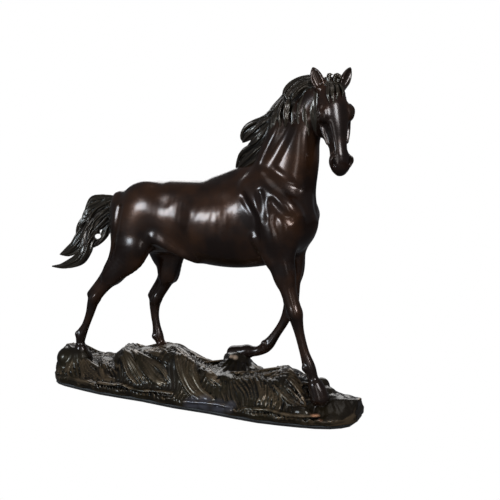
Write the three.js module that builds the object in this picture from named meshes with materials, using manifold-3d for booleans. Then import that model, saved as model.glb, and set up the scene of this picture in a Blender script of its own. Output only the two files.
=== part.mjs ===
// A walking horse in dark patinated bronze, on a rock and grass base.
// Millimetres, +Z up. The horse walks towards +X with its own left side at +Y, and its head is turned
// to its right, towards -Y. The origin is the middle of the underside, on the surface it stands on.
// The horse is cast in sections (torso, neck, head, legs, tail, mane, forelock) that are pinned and
// chased together. Studs in the hooves pass through the hollow base to washers and nuts, and a felt
// pad closes the underside.
import * as THREE from "three";
import { mergeVertices } from "three/addons/utils/BufferGeometryUtils.js";
import Module from "manifold-3d";

const wasm = await Module();
wasm.setup();

// Driving dimensions.
const LENGTH = 226; // tail to base front
const WIDTH = 71; // across the base
const GAP = 0.35; // clearance between castings, filled by the joint
const WALL = 4.5; // thickness of the hollow castings
const FELT = 1.4; // thickness of the pad
const BASE_BOTTOM = FELT + GAP;
const BASE_HOLLOW = 8; // height of the flat roof inside the base
const STUD_RADIUS = 1.5;
const DOWEL_RADIUS = 1.25;

// Outline resolution: rings along a loft, and sides round it.
const BODY = { rings: 16, sides: 16 };
const SLENDER = { rings: 15, sides: 10 };
const LOCK = { rings: 6, sides: 6 };

const ACROSS = new THREE.Vector3(0, 1, 0);

const bronze = (color, roughness) => new THREE.MeshStandardMaterial({ color, roughness, metalness: 0.9 });
const BRONZE = bronze(0x2a1f1b, 0.33);
const HAIR_BRONZE = bronze(0x30261d, 0.42);
const BASE_BRONZE = bronze(0x292119, 0.45);
const STEEL = new THREE.MeshStandardMaterial({ color: 0x9a9a98, roughness: 0.4, metalness: 1 });
const FELT_CLOTH = new THREE.MeshStandardMaterial({ color: 0x1d2a20, roughness: 0.95, metalness: 0 });

// ---------------------------------------------------------------- shape tools

// A closed skin through stations of [x, y, z, half width, fore, aft]. Half width is measured along
// side, fore along the path's direction crossed with side, and aft opposite to fore.
function loft(stations, { rings, sides }, { side = ACROSS, grow = 0, power = 2 } = {}) {
  const centre = new THREE.CatmullRomCurve3(stations.map((s) => new THREE.Vector3(s[0], s[1], s[2])));
  const sizes = new THREE.CatmullRomCurve3(stations.map((s) => new THREE.Vector3(s[3], s[4], s[5])));
  centre.curveType = sizes.curveType = "catmullrom";
  const points = [];
  const faces = [];
  const round = (value) => Math.sign(value) * Math.abs(value) ** (2 / power);
  for (let i = 0; i <= rings; i++) {
    const along = centre.getTangent(i / rings);
    const middle = centre.getPoint(i / rings);
    const size = sizes.getPoint(i / rings).addScalar(grow);
    if (i === 0) middle.addScaledVector(along, -grow);
    if (i === rings) middle.addScaledVector(along, grow);
    const across = side.clone().addScaledVector(along, -side.dot(along)).normalize();
    const fore = along.clone().cross(across);
    for (let j = 0; j < sides; j++) {
      const angle = (2 * Math.PI * j) / sides;
      const depth = Math.sin(angle) > 0 ? size.y : size.z;
      points.push(
        middle.clone()
          .addScaledVector(across, size.x * round(Math.cos(angle)))
          .addScaledVector(fore, depth * round(Math.sin(angle))),
      );
      if (i === rings) continue;
      const here = i * sides;
      const next = (j + 1) % sides;
      faces.push(here + j, here + next, here + sides + j);
      faces.push(here + next, here + sides + next, here + sides + j);
    }
  }
  const last = rings * sides;
  for (let j = 1; j < sides - 1; j++) {
    faces.push(0, j + 1, j);
    faces.push(last, last + j, last + j + 1);
  }
  return new THREE.BufferGeometry().setFromPoints(points).setIndex(faces);
}

function solid(geometry) {
  const bare = geometry.clone();
  bare.deleteAttribute("normal");
  bare.deleteAttribute("uv");
  const merged = mergeVertices(bare, 1e-4);
  return new wasm.Manifold(
    new wasm.Mesh({
      numProp: 3,
      vertProperties: merged.attributes.position.array,
      triVerts: new Uint32Array(merged.index.array),
    }),
  );
}

const join = (solids) => solids.reduce((whole, piece) => whole.add(piece));

// Everything on the side of a plane that its normal points to.
function halfSpace(point, normal) {
  const size = 4 * LENGTH;
  const turn = new THREE.Quaternion().setFromUnitVectors(
    new THREE.Vector3(0, 0, 1),
    new THREE.Vector3(...normal).normalize(),
  );
  const block = new THREE.BoxGeometry(size, size, size).translate(0, 0, size / 2);
  return solid(block.applyQuaternion(turn).translate(...point));
}

// A round bar from one point to another.
function bar(from, to, radius, sides = 16) {
  const start = new THREE.Vector3(...from);
  const run = new THREE.Vector3(...to).sub(start);
  const turn = new THREE.Quaternion().setFromUnitVectors(ACROSS, run.clone().normalize());
  const cylinder = new THREE.CylinderGeometry(radius, radius, run.length(), sides);
  return cylinder.translate(0, run.length() / 2, 0).applyQuaternion(turn).translate(...from);
}

function meshOf(name, shape, material) {
  let geometry = shape;
  if (!shape.isBufferGeometry) {
    const { vertProperties, triVerts } = shape.getMesh();
    geometry = new THREE.BufferGeometry();
    geometry.setAttribute("position", new THREE.BufferAttribute(vertProperties, 3));
    geometry.setIndex(new THREE.BufferAttribute(triVerts, 1));
    geometry.computeVertexNormals();
  }
  const mesh = new THREE.Mesh(geometry, material);
  mesh.name = name;
  return mesh;
}

// The biggest body of a solid, without the crumbs that a cut can leave.
function largest(shape) {
  return shape.decompose().reduce((best, body) => (body.volume() > best.volume() ? body : best));
}

// ---------------------------------------------------------------- the horse's outlines
// Stations are [x, y, z, half width, fore, aft], as loft says.

// Barrel, from the buttocks forward to the breast: fore is up and aft is down.
const BARREL = [
  [-66, 0, 115, 4, 5, 6],
  [-62, 0, 115, 12, 15, 16],
  [-54, 0, 117, 17, 21, 22],
  [-42, 0, 119, 19.5, 24, 25],
  [-28, 0, 120, 20, 26.5, 25],
  [-12, 0, 119, 20, 26.5, 25],
  [5, 0, 118, 21, 27, 27],
  [22, 0, 118, 20.5, 29.5, 29],
  [37, 0, 119, 18.5, 32, 29],
  [52, 0, 120, 17, 29, 27],
  [64, 0, 120, 15.5, 22, 22],
  [73, 0, 120, 11.5, 14, 14],
  [78, 0, 120, 5, 6, 6],
];

// Neck, from inside the chest up to the poll: fore is the throat side and aft the crest.
const NECK = [
  [50, 0, 130, 15, 25, 22],
  [57, 0, 145, 13.5, 25, 21],
  [63.5, 0, 159, 11, 20.5, 17.5],
  [69, -0.5, 172, 9.5, 15.5, 15],
  [75.5, -1, 184, 8.4, 12, 13],
  [83, -1.5, 194, 7.4, 9.5, 10.5],
  [90, -2, 200, 5.5, 6, 7],
];

// Legs, from the shoulder or thigh down to the hoof: fore is forwards.
const RIGHT_HIND = [
  [-44, -11, 126, 7, 13, 12],
  [-47, -12.5, 112, 9, 17, 17],
  [-50, -13.5, 97, 8.5, 16, 14.5],
  [-59, -14, 84, 6, 9.5, 10],
  [-69, -14, 73, 4.2, 5.5, 6.5],
  [-78, -14, 62.5, 3.8, 4.6, 5.6],
  [-82.5, -14, 51, 3, 3.5, 3.7],
  [-86.5, -14, 42, 2.8, 3.1, 3.2],
  [-90.5, -14, 34.5, 3.6, 3.8, 4.4],
  [-91.5, -14, 28, 3.3, 3.4, 3.6],
  [-91, -14, 23, 4.4, 5, 4.4],
  [-89.5, -14, 18, 5, 6, 5],
];
const LEFT_HIND = [
  [-40, 11, 126, 7, 13, 12],
  [-38, 12.5, 112, 9, 17, 17],
  [-34, 13, 96, 8.5, 15, 15.5],
  [-32, 13, 84, 6, 9.5, 10],
  [-36, 13, 74, 4.2, 6, 6],
  [-43.5, 13, 61.5, 3.8, 4.9, 5.6],
  [-44.8, 13, 51, 3, 3.6, 3.8],
  [-43.5, 13, 42, 2.8, 3.2, 3.2],
  [-41.8, 13, 34.5, 3.6, 3.8, 4.2],
  [-39.5, 13, 29, 3.3, 3.5, 3.5],
  [-37.5, 13, 25, 4.4, 5, 4.4],
  [-36, 13, 21, 5, 6, 5],
];
const RIGHT_FORE = [
  [60, -10, 130, 6, 12, 11],
  [64, -12, 119, 8, 13, 14],
  [63.5, -12.5, 104, 7.2, 11.5, 11],
  [66, -12, 92, 5.4, 8, 8.5],
  [70, -12, 78, 4.2, 5.4, 5.8],
  [74, -12, 65, 4.1, 5, 4.8],
  [77, -12, 54, 3, 3.4, 3.4],
  [80.5, -12, 42, 2.8, 3.1, 3.1],
  [84, -12, 33, 3.5, 3.8, 4.2],
  [86.5, -12, 26, 3.2, 3.4, 3.5],
  [88, -12, 20.5, 4.2, 4.8, 4.4],
  [89.5, -12, 15, 5, 5.8, 5],
];
const LEFT_FORE = [
  [62, 11, 132, 7, 14, 11],
  [65.5, 13, 120, 8.5, 13, 13],
  [63.5, 12.5, 105, 7, 8.6, 9.5],
  [63, 12, 92, 5.4, 5.8, 7],
  [63, 12, 80, 4.2, 4.6, 5.4],
  [61.5, 12, 68, 4.1, 4.6, 4.8],
  [57.5, 12, 56, 3, 3.6, 3.5],
  [51.5, 12, 46, 2.8, 3.1, 3.1],
  [45, 12, 37, 3.6, 3.9, 4.1],
  [38.5, 12, 32.5, 3.4, 3.4, 3.5],
  [30, 12, 31.2, 4.3, 4.2, 4],
  [20, 12, 29.8, 4.8, 5, 4.6],
];

// Head, in its own frame: x runs from the poll down the face, z out of the forehead, y to the left.
const HEAD = [
  [-5, 0, -2, 3.5, 3, 4],
  [0, 0, -2, 7, 6, 8],
  [8, 0, -3, 8.8, 9.5, 11.5],
  [16, 0, -4, 9.2, 11, 13],
  [24, 0, -5, 8.4, 11, 13],
  [32, 0, -4, 6.8, 9, 9.5],
  [40, 0, -3, 5, 6, 6.2],
  [46, 0, -2.8, 5.1, 5.4, 5.6],
  [51, 0, -3.2, 5.4, 5.2, 5.2],
  [55.5, 0, -4, 3.4, 2.8, 3],
];
const EAR = [
  [1.5, 7, -2, 3.1, 2.2, 2.2],
  [-3, 8.6, -2.4, 3.5, 1.9, 1.9],
  [-7.5, 10.6, -2.8, 2.7, 1.4, 1.4],
  [-11.4, 12, -3.2, 0.8, 0.7, 0.7],
];
const HEAD_TURN = 52; // degrees to the horse's right
const HEAD_NOD = 74; // degrees of the face below level
const POLL = [91, -3.1, 201];

// Dock and the core of the tail, from inside the croup backwards: fore is underneath.
const DOCK = [
  [-54, 0, 129, 4.5, 5, 4.5],
  [-64, -1, 130, 5, 5.5, 5],
  [-73, -4, 127, 6, 8.5, 7],
  [-80, -8, 118, 6, 10.5, 9],
  [-86, -12, 107, 5.5, 10, 9.5],
  [-92, -15, 96, 4.5, 8, 8],
  [-97, -17, 88, 3, 5, 5],
];

function headFrame() {
  const nod = THREE.MathUtils.degToRad(HEAD_NOD);
  const turn = THREE.MathUtils.degToRad(-HEAD_TURN);
  return new THREE.Matrix4()
    .makeTranslation(...POLL)
    .multiply(new THREE.Matrix4().makeRotationZ(turn))
    .multiply(new THREE.Matrix4().makeRotationY(nod));
}

// ---------------------------------------------------------------- castings

const limb = (stations, grow = 0) => solid(loft(stations, SLENDER, { grow }));

function headSolid(grow = 0) {
  const skull = loft(HEAD, { rings: 16, sides: 12 }, { grow, power: 2.2 });
  const ears = [1, -1].map((hand) => {
    const ear = EAR.map(([x, y, z, ...size]) => [x, hand * y, z, ...size]);
    return solid(loft(ear, { rings: 6, sides: 8 }, { grow }).applyMatrix4(headFrame()));
  });
  return join([solid(skull.applyMatrix4(headFrame())), ...ears]);
}

const neckSolid = (grow = 0) =>
  solid(loft(NECK, { rings: 12, sides: 14 }, { side: ACROSS.clone().negate(), grow }));
const barrelSolid = (grow = 0) => solid(loft(BARREL, BODY, { grow }));

// Where each section is sawn from the next: a point on the plane, and its normal.
const NECK_CUT = { at: [56, 0, 148], towards: [0.35, 0, 0.94] };
const LEG_CUTS = {
  right_hindleg: { stations: RIGHT_HIND, at: [-52, -13, 93], towards: [0.35, 0, 0.94], stud: [-90, -14, 18] },
  left_hindleg: { stations: LEFT_HIND, at: [-33.5, 13, 91], towards: [-0.1, 0, 1], stud: [-37, 13, 21] },
  right_foreleg: { stations: RIGHT_FORE, at: [64.5, -12, 98], towards: [-0.15, 0, 1], stud: [89, -12, 15] },
  left_foreleg: { stations: LEFT_FORE, at: [62.4, 12, 99], towards: [0, 0, 1], stud: [24, 12, 26] },
};

// What a cut leaves on the side it faces, lift clear of it, and on the other side, drop short of it.
const above = (cut, lift = 0) => {
  const normal = new THREE.Vector3(...cut.towards).normalize();
  const point = new THREE.Vector3(...cut.at).addScaledVector(normal, lift);
  return halfSpace(point.toArray(), cut.towards);
};
const below = (cut, drop = 0) => {
  const normal = new THREE.Vector3(...cut.towards).normalize();
  const point = new THREE.Vector3(...cut.at).addScaledVector(normal, -drop);
  return halfSpace(point.toArray(), normal.negate().toArray());
};

// A dowel crosses each sawn joint at right angles to it.
function dowel(cut, reach = 7) {
  const normal = new THREE.Vector3(...cut.towards).normalize();
  const at = new THREE.Vector3(...cut.at);
  const ends = [-reach, reach].map((step) => at.clone().addScaledVector(normal, step).toArray());
  return {
    pin: bar(...ends, DOWEL_RADIUS, 12),
    hole: solid(bar(...ends.map((end, i) => {
      const past = (i ? 1 : -1) * GAP;
      return new THREE.Vector3(...end).addScaledVector(normal, past).toArray();
    }), DOWEL_RADIUS + GAP, 12)),
  };
}

const grownLegs = join(Object.values(LEG_CUTS).map(({ stations }) => limb(stations, GAP)));

const castings = {};
const dowels = {};
let torso = barrelSolid().add(neckSolid().intersect(below(NECK_CUT)));
for (const [name, cut] of Object.entries(LEG_CUTS)) {
  const leg = limb(cut.stations);
  torso = torso.add(leg.intersect(above(cut)));
  castings[name] = leg.intersect(below(cut, GAP)).subtract(barrelSolid(GAP));
  dowels[`${name}_dowel`] = dowel(cut);
}

const cavity = barrelSolid(-WALL).add(neckSolid(-WALL));
torso = torso.intersect(below(NECK_CUT)).subtract(cavity);
const TAIL_CUT = { at: [-67.5, -1.5, 128.5], towards: [-0.95, -0.1, -0.15] };
const tailCore = solid(loft(DOCK, { rings: 12, sides: 10 }));
torso = torso.add(tailCore.intersect(below(TAIL_CUT)));
dowels.tail_dowel = dowel(TAIL_CUT, 5);

const head = headSolid();
const neck = neckSolid().intersect(above(NECK_CUT, GAP)).subtract(cavity).subtract(headSolid(GAP));

// ---------------------------------------------------------------- hair

// A flattened lock of hair through points, thickest a third of the way down and pointed at its tip.
function lock(points, width, thickness, side = ACROSS) {
  const last = points.length - 1;
  const stations = points.map((point, i) => {
    const swell = Math.sin(Math.PI * (0.2 + (0.75 * i) / last));
    return [...point, thickness * swell, width * swell, width * swell];
  });
  return solid(loft(stations, LOCK, { side }));
}

// The mane springs from the crest and is blown back and down on both sides of it.
const CREST = new THREE.CatmullRomCurve3([
  new THREE.Vector3(84, -2, 205),
  new THREE.Vector3(73, -1.5, 200),
  new THREE.Vector3(63, -1, 188),
  new THREE.Vector3(54, -0.5, 174),
  new THREE.Vector3(43.5, 0, 160),
  new THREE.Vector3(36, 0, 151),
]);
const MANE_LOCKS = 9;
// Two thick locks roll clear of the neck half way down it.
const CLUMP = [
  [[60, 2, 186], [50, 5, 189], [39, 7, 184], [32, 8, 175]],
  [[56, 2, 179], [46, 5, 180], [38, 6, 172], [34, 7, 163]],
];
function maneSolid() {
  const roots = CREST.getPoints(MANE_LOCKS);
  const crestStations = CREST.getPoints(8).map((p) => [...p.toArray(), 2.4, 2.6, 3.2]);
  const locks = [solid(loft(crestStations, LOCK))];
  for (let i = 1; i < MANE_LOCKS; i++) {
    const share = i / MANE_LOCKS;
    const root = roots[i];
    const length = 12 + 13 * Math.sin(Math.PI * Math.min(1, share * 0.95));
    const flow = new THREE.Vector3(-0.75, i % 2 ? -0.22 : 0.1, -0.62).normalize();
    const points = [0, 0.35, 0.7, 1].map((step) => {
      const point = root.clone().addScaledVector(flow, step * length);
      point.z += 3.5 * Math.sin(Math.PI * step) - 1.5 * step;
      return point.toArray();
    });
    locks.push(lock(points, 6.4, 2.9));
  }
  locks.push(...CLUMP.map((points) => lock(points, 5.2, 3)));
  return join(locks);
}

const FORELOCK = [
  [[0.5, 0, 5.5], [5, -0.6, 8], [10, -1.2, 9.2], [14, -1.6, 9.3]],
  [[0, -1.8, 5], [4, -3.4, 7.6], [8, -4.6, 7.6]],
  [[0, 1.8, 5], [4, 2.6, 7.8], [8.5, 3, 8.4]],
];
function forelockSolid() {
  const locks = FORELOCK.map((points) => {
    const world = points.map((p) => new THREE.Vector3(...p).applyMatrix4(headFrame()).toArray());
    return lock(world, 2.2, 3, new THREE.Vector3(0.67, 0.74, 0));
  });
  return join(locks);
}

const TAIL_LOCKS = [
  { points: [[-72, -3, 130], [-83, -6, 130], [-90, -10, 119], [-97, -14, 105], [-105, -17, 91]], width: 5 },
  { points: [[-74, -5, 122], [-82, -10, 110], [-90, -14, 98], [-99, -18, 85], [-112, -20, 80.5]], width: 5.5 },
  { points: [[-74, -5, 116], [-79, -9, 107], [-85, -12, 99], [-92, -15, 89]], width: 4 },
];
function tailSolid() {
  const locks = TAIL_LOCKS.map(({ points, width }) => lock(points, width, 3.4));
  return join([tailCore, ...locks]).intersect(above(TAIL_CUT, GAP));
}

const tail = tailSolid().subtract(barrelSolid(GAP)).subtract(grownLegs);
let mane = maneSolid().subtract(neckSolid(GAP)).subtract(barrelSolid(GAP)).subtract(headSolid(GAP));
mane = mane.subtract(limb(RIGHT_FORE, GAP)).subtract(limb(LEFT_FORE, GAP));
const forelock = forelockSolid().subtract(headSolid(GAP)).subtract(neckSolid(GAP)).subtract(maneSolid());

// ---------------------------------------------------------------- base

// Height of the ground under the horse, along its length.
const GROUND = new THREE.CatmullRomCurve3(
  [
    [-113, 19], [-103, 23], [-90, 20], [-80, 17], [-69, 19], [-60, 26], [-45, 26], [-27, 28],
    [-12, 28], [2, 23], [12, 23], [24, 25], [38, 23], [52, 21], [64, 23], [76, 21], [88, 16],
    [100, 13], [113, 11],
  ].map(([x, z]) => new THREE.Vector3(x, 0, z)),
);
const GROUND_TABLE = GROUND.getPoints(200);
function groundAt(x) {
  const i = GROUND_TABLE.findIndex((point) => point.x >= x);
  if (i <= 0) return GROUND_TABLE[i === 0 ? 0 : 200].z;
  const [a, b] = [GROUND_TABLE[i - 1], GROUND_TABLE[i]];
  return THREE.MathUtils.lerp(a.z, b.z, (x - a.x) / (b.x - a.x));
}

const MOUND = { x: 21, y: 10, height: 7, radius: 11 }; // carries the raised hoof
const LEDGE = 6; // height of the rim round the base
const BLUNT = 0.995; // share of the length past which the outline narrows no more
const LENGTH_POINTS = 34;
const WIDTH_POINTS = 10;

// Half the base's width, with an uneven edge. The rear end is blunter than the front.
const REAR_END = { power: 6, root: 0.25 };
const FRONT_END = { power: 4.2, root: 0.385 };
const UNEVEN = 0.02;
function halfWidth(x) {
  const share = Math.min(BLUNT, Math.abs(x) / (LENGTH / 2));
  const { power, root } = x < 0 ? REAR_END : FRONT_END;
  return (WIDTH / 2) * (1 - share ** power) ** root * (1 - UNEVEN + UNEVEN * Math.cos(x / 9));
}

function topAt(x, share) {
  const shoulder = THREE.MathUtils.smoothstep(1 - Math.abs(share), 0, 0.42);
  const y = share * halfWidth(x);
  const far = Math.hypot(x - MOUND.x, y - MOUND.y) / MOUND.radius;
  const mound = MOUND.height * Math.exp(-far * far);
  const rough = 1.1 * Math.sin(x / 4.3 + y / 6) * Math.cos(y / 5 - x / 11);
  return LEDGE + (groundAt(x) - LEDGE + rough) * shoulder + mound * shoulder;
}

function groundGeometry() {
  const points = [];
  const faces = [];
  const row = WIDTH_POINTS + 1;
  const layer = (LENGTH_POINTS + 1) * row;
  for (const top of [false, true]) {
    for (let i = 0; i <= LENGTH_POINTS; i++) {
      // The rows crowd towards the two ends, where the outline turns, and the last is narrow but not a point.
      const x = (LENGTH / 2) * Math.sin((Math.PI / 2) * ((2 * i) / LENGTH_POINTS - 1));
      for (let j = 0; j <= WIDTH_POINTS; j++) {
        const share = (2 * j) / WIDTH_POINTS - 1;
        const end = THREE.MathUtils.smoothstep(LENGTH / 2 - Math.abs(x), 0, 9);
        const z = top ? THREE.MathUtils.lerp(LEDGE, topAt(x, share), end) : BASE_BOTTOM;
        points.push(new THREE.Vector3(x, share * halfWidth(x), z));
      }
    }
  }
  const quad = (a, b, c, d) => faces.push(a, b, c, a, c, d);
  for (let i = 0; i < LENGTH_POINTS; i++) {
    for (let j = 0; j < WIDTH_POINTS; j++) {
      const a = i * row + j;
      quad(a, a + 1, a + row + 1, a + row);
      quad(layer + a, layer + a + row, layer + a + row + 1, layer + a + 1);
    }
    const right = i * row;
    const left = right + WIDTH_POINTS;
    quad(right, right + row, layer + right + row, layer + right);
    quad(left, layer + left, layer + left + row, left + row);
  }
  for (let j = 0; j < WIDTH_POINTS; j++) {
    const front = LENGTH_POINTS * row + j;
    quad(j, layer + j, layer + j + 1, j + 1);
    quad(front, front + 1, layer + front + 1, layer + front);
  }
  return new THREE.BufferGeometry().setFromPoints(points).setIndex(faces);
}

// The base's outline in plan, drawn in by inset, as a flat plate.
function plate(inset, bottom, top, points = 40) {
  const shape = new THREE.Shape();
  for (let i = 0; i < points; i++) {
    const angle = (2 * Math.PI * i) / points;
    const x = (LENGTH / 2 - inset - 1) * Math.sign(Math.cos(angle)) * Math.abs(Math.cos(angle)) ** 0.8;
    const widthHere = halfWidth(x * (LENGTH / 2) / (LENGTH / 2 - inset)) - inset;
    const y = Math.sign(Math.sin(angle)) * Math.max(widthHere, 1);
    if (i === 0) shape.moveTo(x, y);
    else shape.lineTo(x, y);
  }
  shape.closePath();
  return new THREE.ExtrudeGeometry(shape, { depth: top - bottom, bevelEnabled: false }).translate(0, 0, bottom);
}

const NUT = { across: 5.5, high: 2.4, washer: 3.5, washerHigh: 0.6 };
const STUD_TOP = 7; // how far a stud runs up into its hoof
const STUD_SHOWS = 1.6; // and how far it comes out of its nut
const SEAT = 0.05; // clearance under the washer, and under the nut
const RECESS_INSET = 5; // from the base's edge to its hollow
const FELT_INSET = 1.2;

let base = solid(groundGeometry()).subtract(grownLegs);
base = base.subtract(solid(plate(RECESS_INSET, -1, BASE_HOLLOW)));

const hardware = new THREE.Group();
for (const [name, { stud }] of Object.entries(LEG_CUTS)) {
  const [x, y, z] = stud;
  const low = BASE_HOLLOW - NUT.washerHigh - NUT.high - STUD_SHOWS;
  const shaft = bar([x, y, low], [x, y, z + STUD_TOP], STUD_RADIUS);
  const hole = solid(bar([x, y, low - 1], [x, y, z + STUD_TOP + GAP], STUD_RADIUS + GAP));
  castings[name] = castings[name].subtract(hole);
  base = base.subtract(hole);

  const ring = (outer, high, sides) => {
    const blank = new THREE.CylinderGeometry(outer, outer, high, sides).rotateX(Math.PI / 2);
    const bore = new THREE.CylinderGeometry(STUD_RADIUS + GAP, STUD_RADIUS + GAP, high + 2, 16);
    return solid(blank).subtract(solid(bore.rotateX(Math.PI / 2)));
  };
  hardware.add(meshOf(`${name}_stud`, shaft, STEEL));
  const washer = meshOf(`${name}_washer`, ring(NUT.washer, NUT.washerHigh, 20), STEEL);
  washer.position.set(x, y, BASE_HOLLOW - SEAT - NUT.washerHigh / 2);
  const nut = meshOf(`${name}_nut`, ring(NUT.across / Math.sqrt(3), NUT.high, 6), STEEL);
  nut.position.set(x, y, BASE_HOLLOW - 2 * SEAT - NUT.washerHigh - NUT.high / 2);
  hardware.add(washer, nut);
}

const holes = join(Object.values(dowels).map(({ hole }) => hole));
for (const name of Object.keys(castings)) castings[name] = largest(castings[name].subtract(holes));
Object.assign(castings, {
  torso: largest(torso.subtract(holes)),
  neck: largest(neck),
  head: largest(head),
});

// ---------------------------------------------------------------- assembly

const horse = new THREE.Group();
for (const [name, shape] of Object.entries(castings)) horse.add(meshOf(name, shape, BRONZE));
horse.add(meshOf("mane", largest(mane), HAIR_BRONZE));
horse.add(meshOf("forelock", largest(forelock), HAIR_BRONZE));
horse.add(meshOf("tail", largest(tail.subtract(holes)), HAIR_BRONZE));
for (const [name, { pin }] of Object.entries(dowels)) hardware.add(meshOf(name, pin, STEEL));

const stand = new THREE.Group();
stand.add(meshOf("base", largest(base), BASE_BRONZE));
stand.add(meshOf("felt_pad", plate(FELT_INSET, 0, FELT), FELT_CLOTH));

const statue = new THREE.Group();
statue.add(horse, stand, hardware);
export default statue;
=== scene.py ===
"""The looks of a bronze horse statuette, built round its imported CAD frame.

Every casting is modelled as clay: a block of voxels that holds distances in millimetres, to which
tubes and balls are added and from which grooves are cut. The surface of the clay becomes the mesh.
All places are in millimetres in the part's own frame: +X is forwards, +Y the horse's left, +Z up.
"""
import copy
import math

import bpy
import numpy as np
import openvdb
from mathutils import Matrix, Vector

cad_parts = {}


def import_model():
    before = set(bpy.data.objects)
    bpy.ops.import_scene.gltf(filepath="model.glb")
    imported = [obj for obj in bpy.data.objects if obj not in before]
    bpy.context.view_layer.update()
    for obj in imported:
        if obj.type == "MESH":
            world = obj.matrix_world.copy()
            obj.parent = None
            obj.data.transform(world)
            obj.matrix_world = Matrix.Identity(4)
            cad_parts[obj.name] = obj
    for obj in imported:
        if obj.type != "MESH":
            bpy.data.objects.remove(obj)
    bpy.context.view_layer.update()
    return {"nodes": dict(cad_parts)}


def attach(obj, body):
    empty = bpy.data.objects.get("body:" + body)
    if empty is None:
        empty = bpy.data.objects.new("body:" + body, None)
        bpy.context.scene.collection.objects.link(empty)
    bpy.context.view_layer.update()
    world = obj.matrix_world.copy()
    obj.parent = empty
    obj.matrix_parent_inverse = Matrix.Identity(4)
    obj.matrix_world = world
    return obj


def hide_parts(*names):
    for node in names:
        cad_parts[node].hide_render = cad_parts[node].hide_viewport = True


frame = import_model()

MM = 0.001
FAR = 60.0  # the distance that empty clay holds
SPACING = 1.0
ROOT = "root"

X = np.array([1.0, 0.0, 0.0])
Y = np.array([0.0, 1.0, 0.0])
Z = np.array([0.0, 0.0, 1.0])


# ---------------------------------------------------------------- clay

def unit(vector):
    vector = np.asarray(vector, float)
    return vector / max(np.linalg.norm(vector), 1e-9)


def dot(parts, way):
    """The dot product of three grids of parts with a direction."""
    return sum(part * share for part, share in zip(parts, way))


def window(axes, low, high):
    """The slices of a grid that lie from low to high, or None if there are none."""
    cut = []
    for axis, start, end in zip(axes, low, high):
        first, last = np.searchsorted(axis, (start, end))
        if first >= last:
            return None
        cut.append(slice(first, last))
    return tuple(cut)


def cut_axes(axes, cut):
    """The stretch of each of a grid's axes that some slices take."""
    return [axis[part] for axis, part in zip(axes, cut)]


def from_point(axes, point):
    """How far each place of a grid is from a point along x, y and z, as broadcastable parts."""
    return [axis - middle for axis, middle in zip(np.ix_(*axes), point)]


def joined(here, other, blend):
    """The distance to two bodies joined by a fillet about blend wide."""
    step = np.maximum(blend - np.abs(here - other), 0)
    return np.minimum(here, other) - step * step / (4 * blend)


def smooth_rows(rows, count):
    """A Catmull-Rom curve through rows of numbers, as count rows."""
    rows = np.asarray(rows, float)
    padded = np.vstack([2 * rows[0] - rows[1], rows, 2 * rows[-1] - rows[-2]])
    at = np.linspace(0, len(rows) - 1, count)
    start = np.minimum(at.astype(int), len(rows) - 2)
    t = (at - start)[:, None]
    a, b, c, d = (padded[start + i] for i in range(4))
    return 0.5 * (2 * b + (c - a) * t + (2 * a - 5 * b + 4 * c - d) * t**2 + (3 * b - a - 3 * c + d) * t**3)


class Tube:
    """A closed tube through stations of [x, y, z, side, fore, aft].

    Side is half its width along across. Fore is its reach along the path's direction crossed with
    across, and aft its reach the other way. Strands are ridges that run along it: how many go round
    it, how deep they are as a share of its size, and how many turns they make.
    """

    def __init__(self, stations, across=Y, step=2.5, strands=None, seed=0):
        stations = [list(s) + [s[-1]] * (6 - len(s)) for s in stations]
        ends = np.array(stations)[:, :3]
        length = np.linalg.norm(np.diff(ends, axis=0), axis=1).sum()
        rows = smooth_rows(stations, max(4, int(length / step) + 1))
        self.centres = rows[:, :3]
        self.sizes = np.maximum(rows[:, 3:], 0.05)
        self.across = np.asarray(across, float)
        self.strands = strands
        self.seed = seed
        reach = self.sizes.max()
        self.low = self.centres.min(0) - reach
        self.high = self.centres.max(0) + reach

    def distance(self, x, y, z, margin):
        """Distance from each point of a grid along x, y and z. It is right only within margin.

        A ball and the land are worked out everywhere, and take a margin only to match a tube.
        """
        result = np.full((x.size, y.size, z.size), FAR, np.float32)
        total = len(self.centres) - 1
        for i in range(total):
            self._segment(result, i, total, (x, y, z), margin)
        return result

    def _segment(self, result, i, total, axes, margin):
        start, end = self.centres[i], self.centres[i + 1]
        run = end - start
        length = np.linalg.norm(run) + 1e-9
        along = run / length
        across = unit(self.across - along * self.across.dot(along))
        fore = np.cross(along, across)
        reach = max(self.sizes[i].max(), self.sizes[i + 1].max()) + margin
        low, high = np.minimum(start, end) - reach, np.maximum(start, end) + reach
        cut = window(axes, low, high)
        if cut is None:
            return
        parts = from_point(cut_axes(axes, cut), start)
        share = np.clip(dot(parts, along) / length, 0, 1)
        off = [part - share * r for part, r in zip(parts, run)]
        s, f, g = (dot(off, way) for way in (across, fore, along))
        a, b = self.sizes[i], self.sizes[i + 1]
        wide = a[0] + (b[0] - a[0]) * share
        deep = np.where(f > 0, a[1] + (b[1] - a[1]) * share, a[2] + (b[2] - a[2]) * share)
        sn, fn = s / wide, f / deep
        gn = g / np.minimum(wide, deep)
        ratio = np.sqrt(sn * sn + fn * fn + gn * gn) + 1e-6
        size = np.sqrt(s * s + f * f + g * g)
        if self.strands:
            count, depth, turns = self.strands
            angle = np.arctan2(fn, sn)
            place = (i + share) / total
            phase = 1.7 * self.seed + 2 * np.pi * turns * place
            ridge = np.cos(count * angle + phase) + 0.5 * np.cos((2 * count + 1) * angle - 1.3 * phase)
            ratio = ratio / (1 + depth * ridge)
        distance = (size * (1 - 1 / ratio)).astype(np.float32)
        view = result[cut]
        np.minimum(view, distance, out=view)


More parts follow.
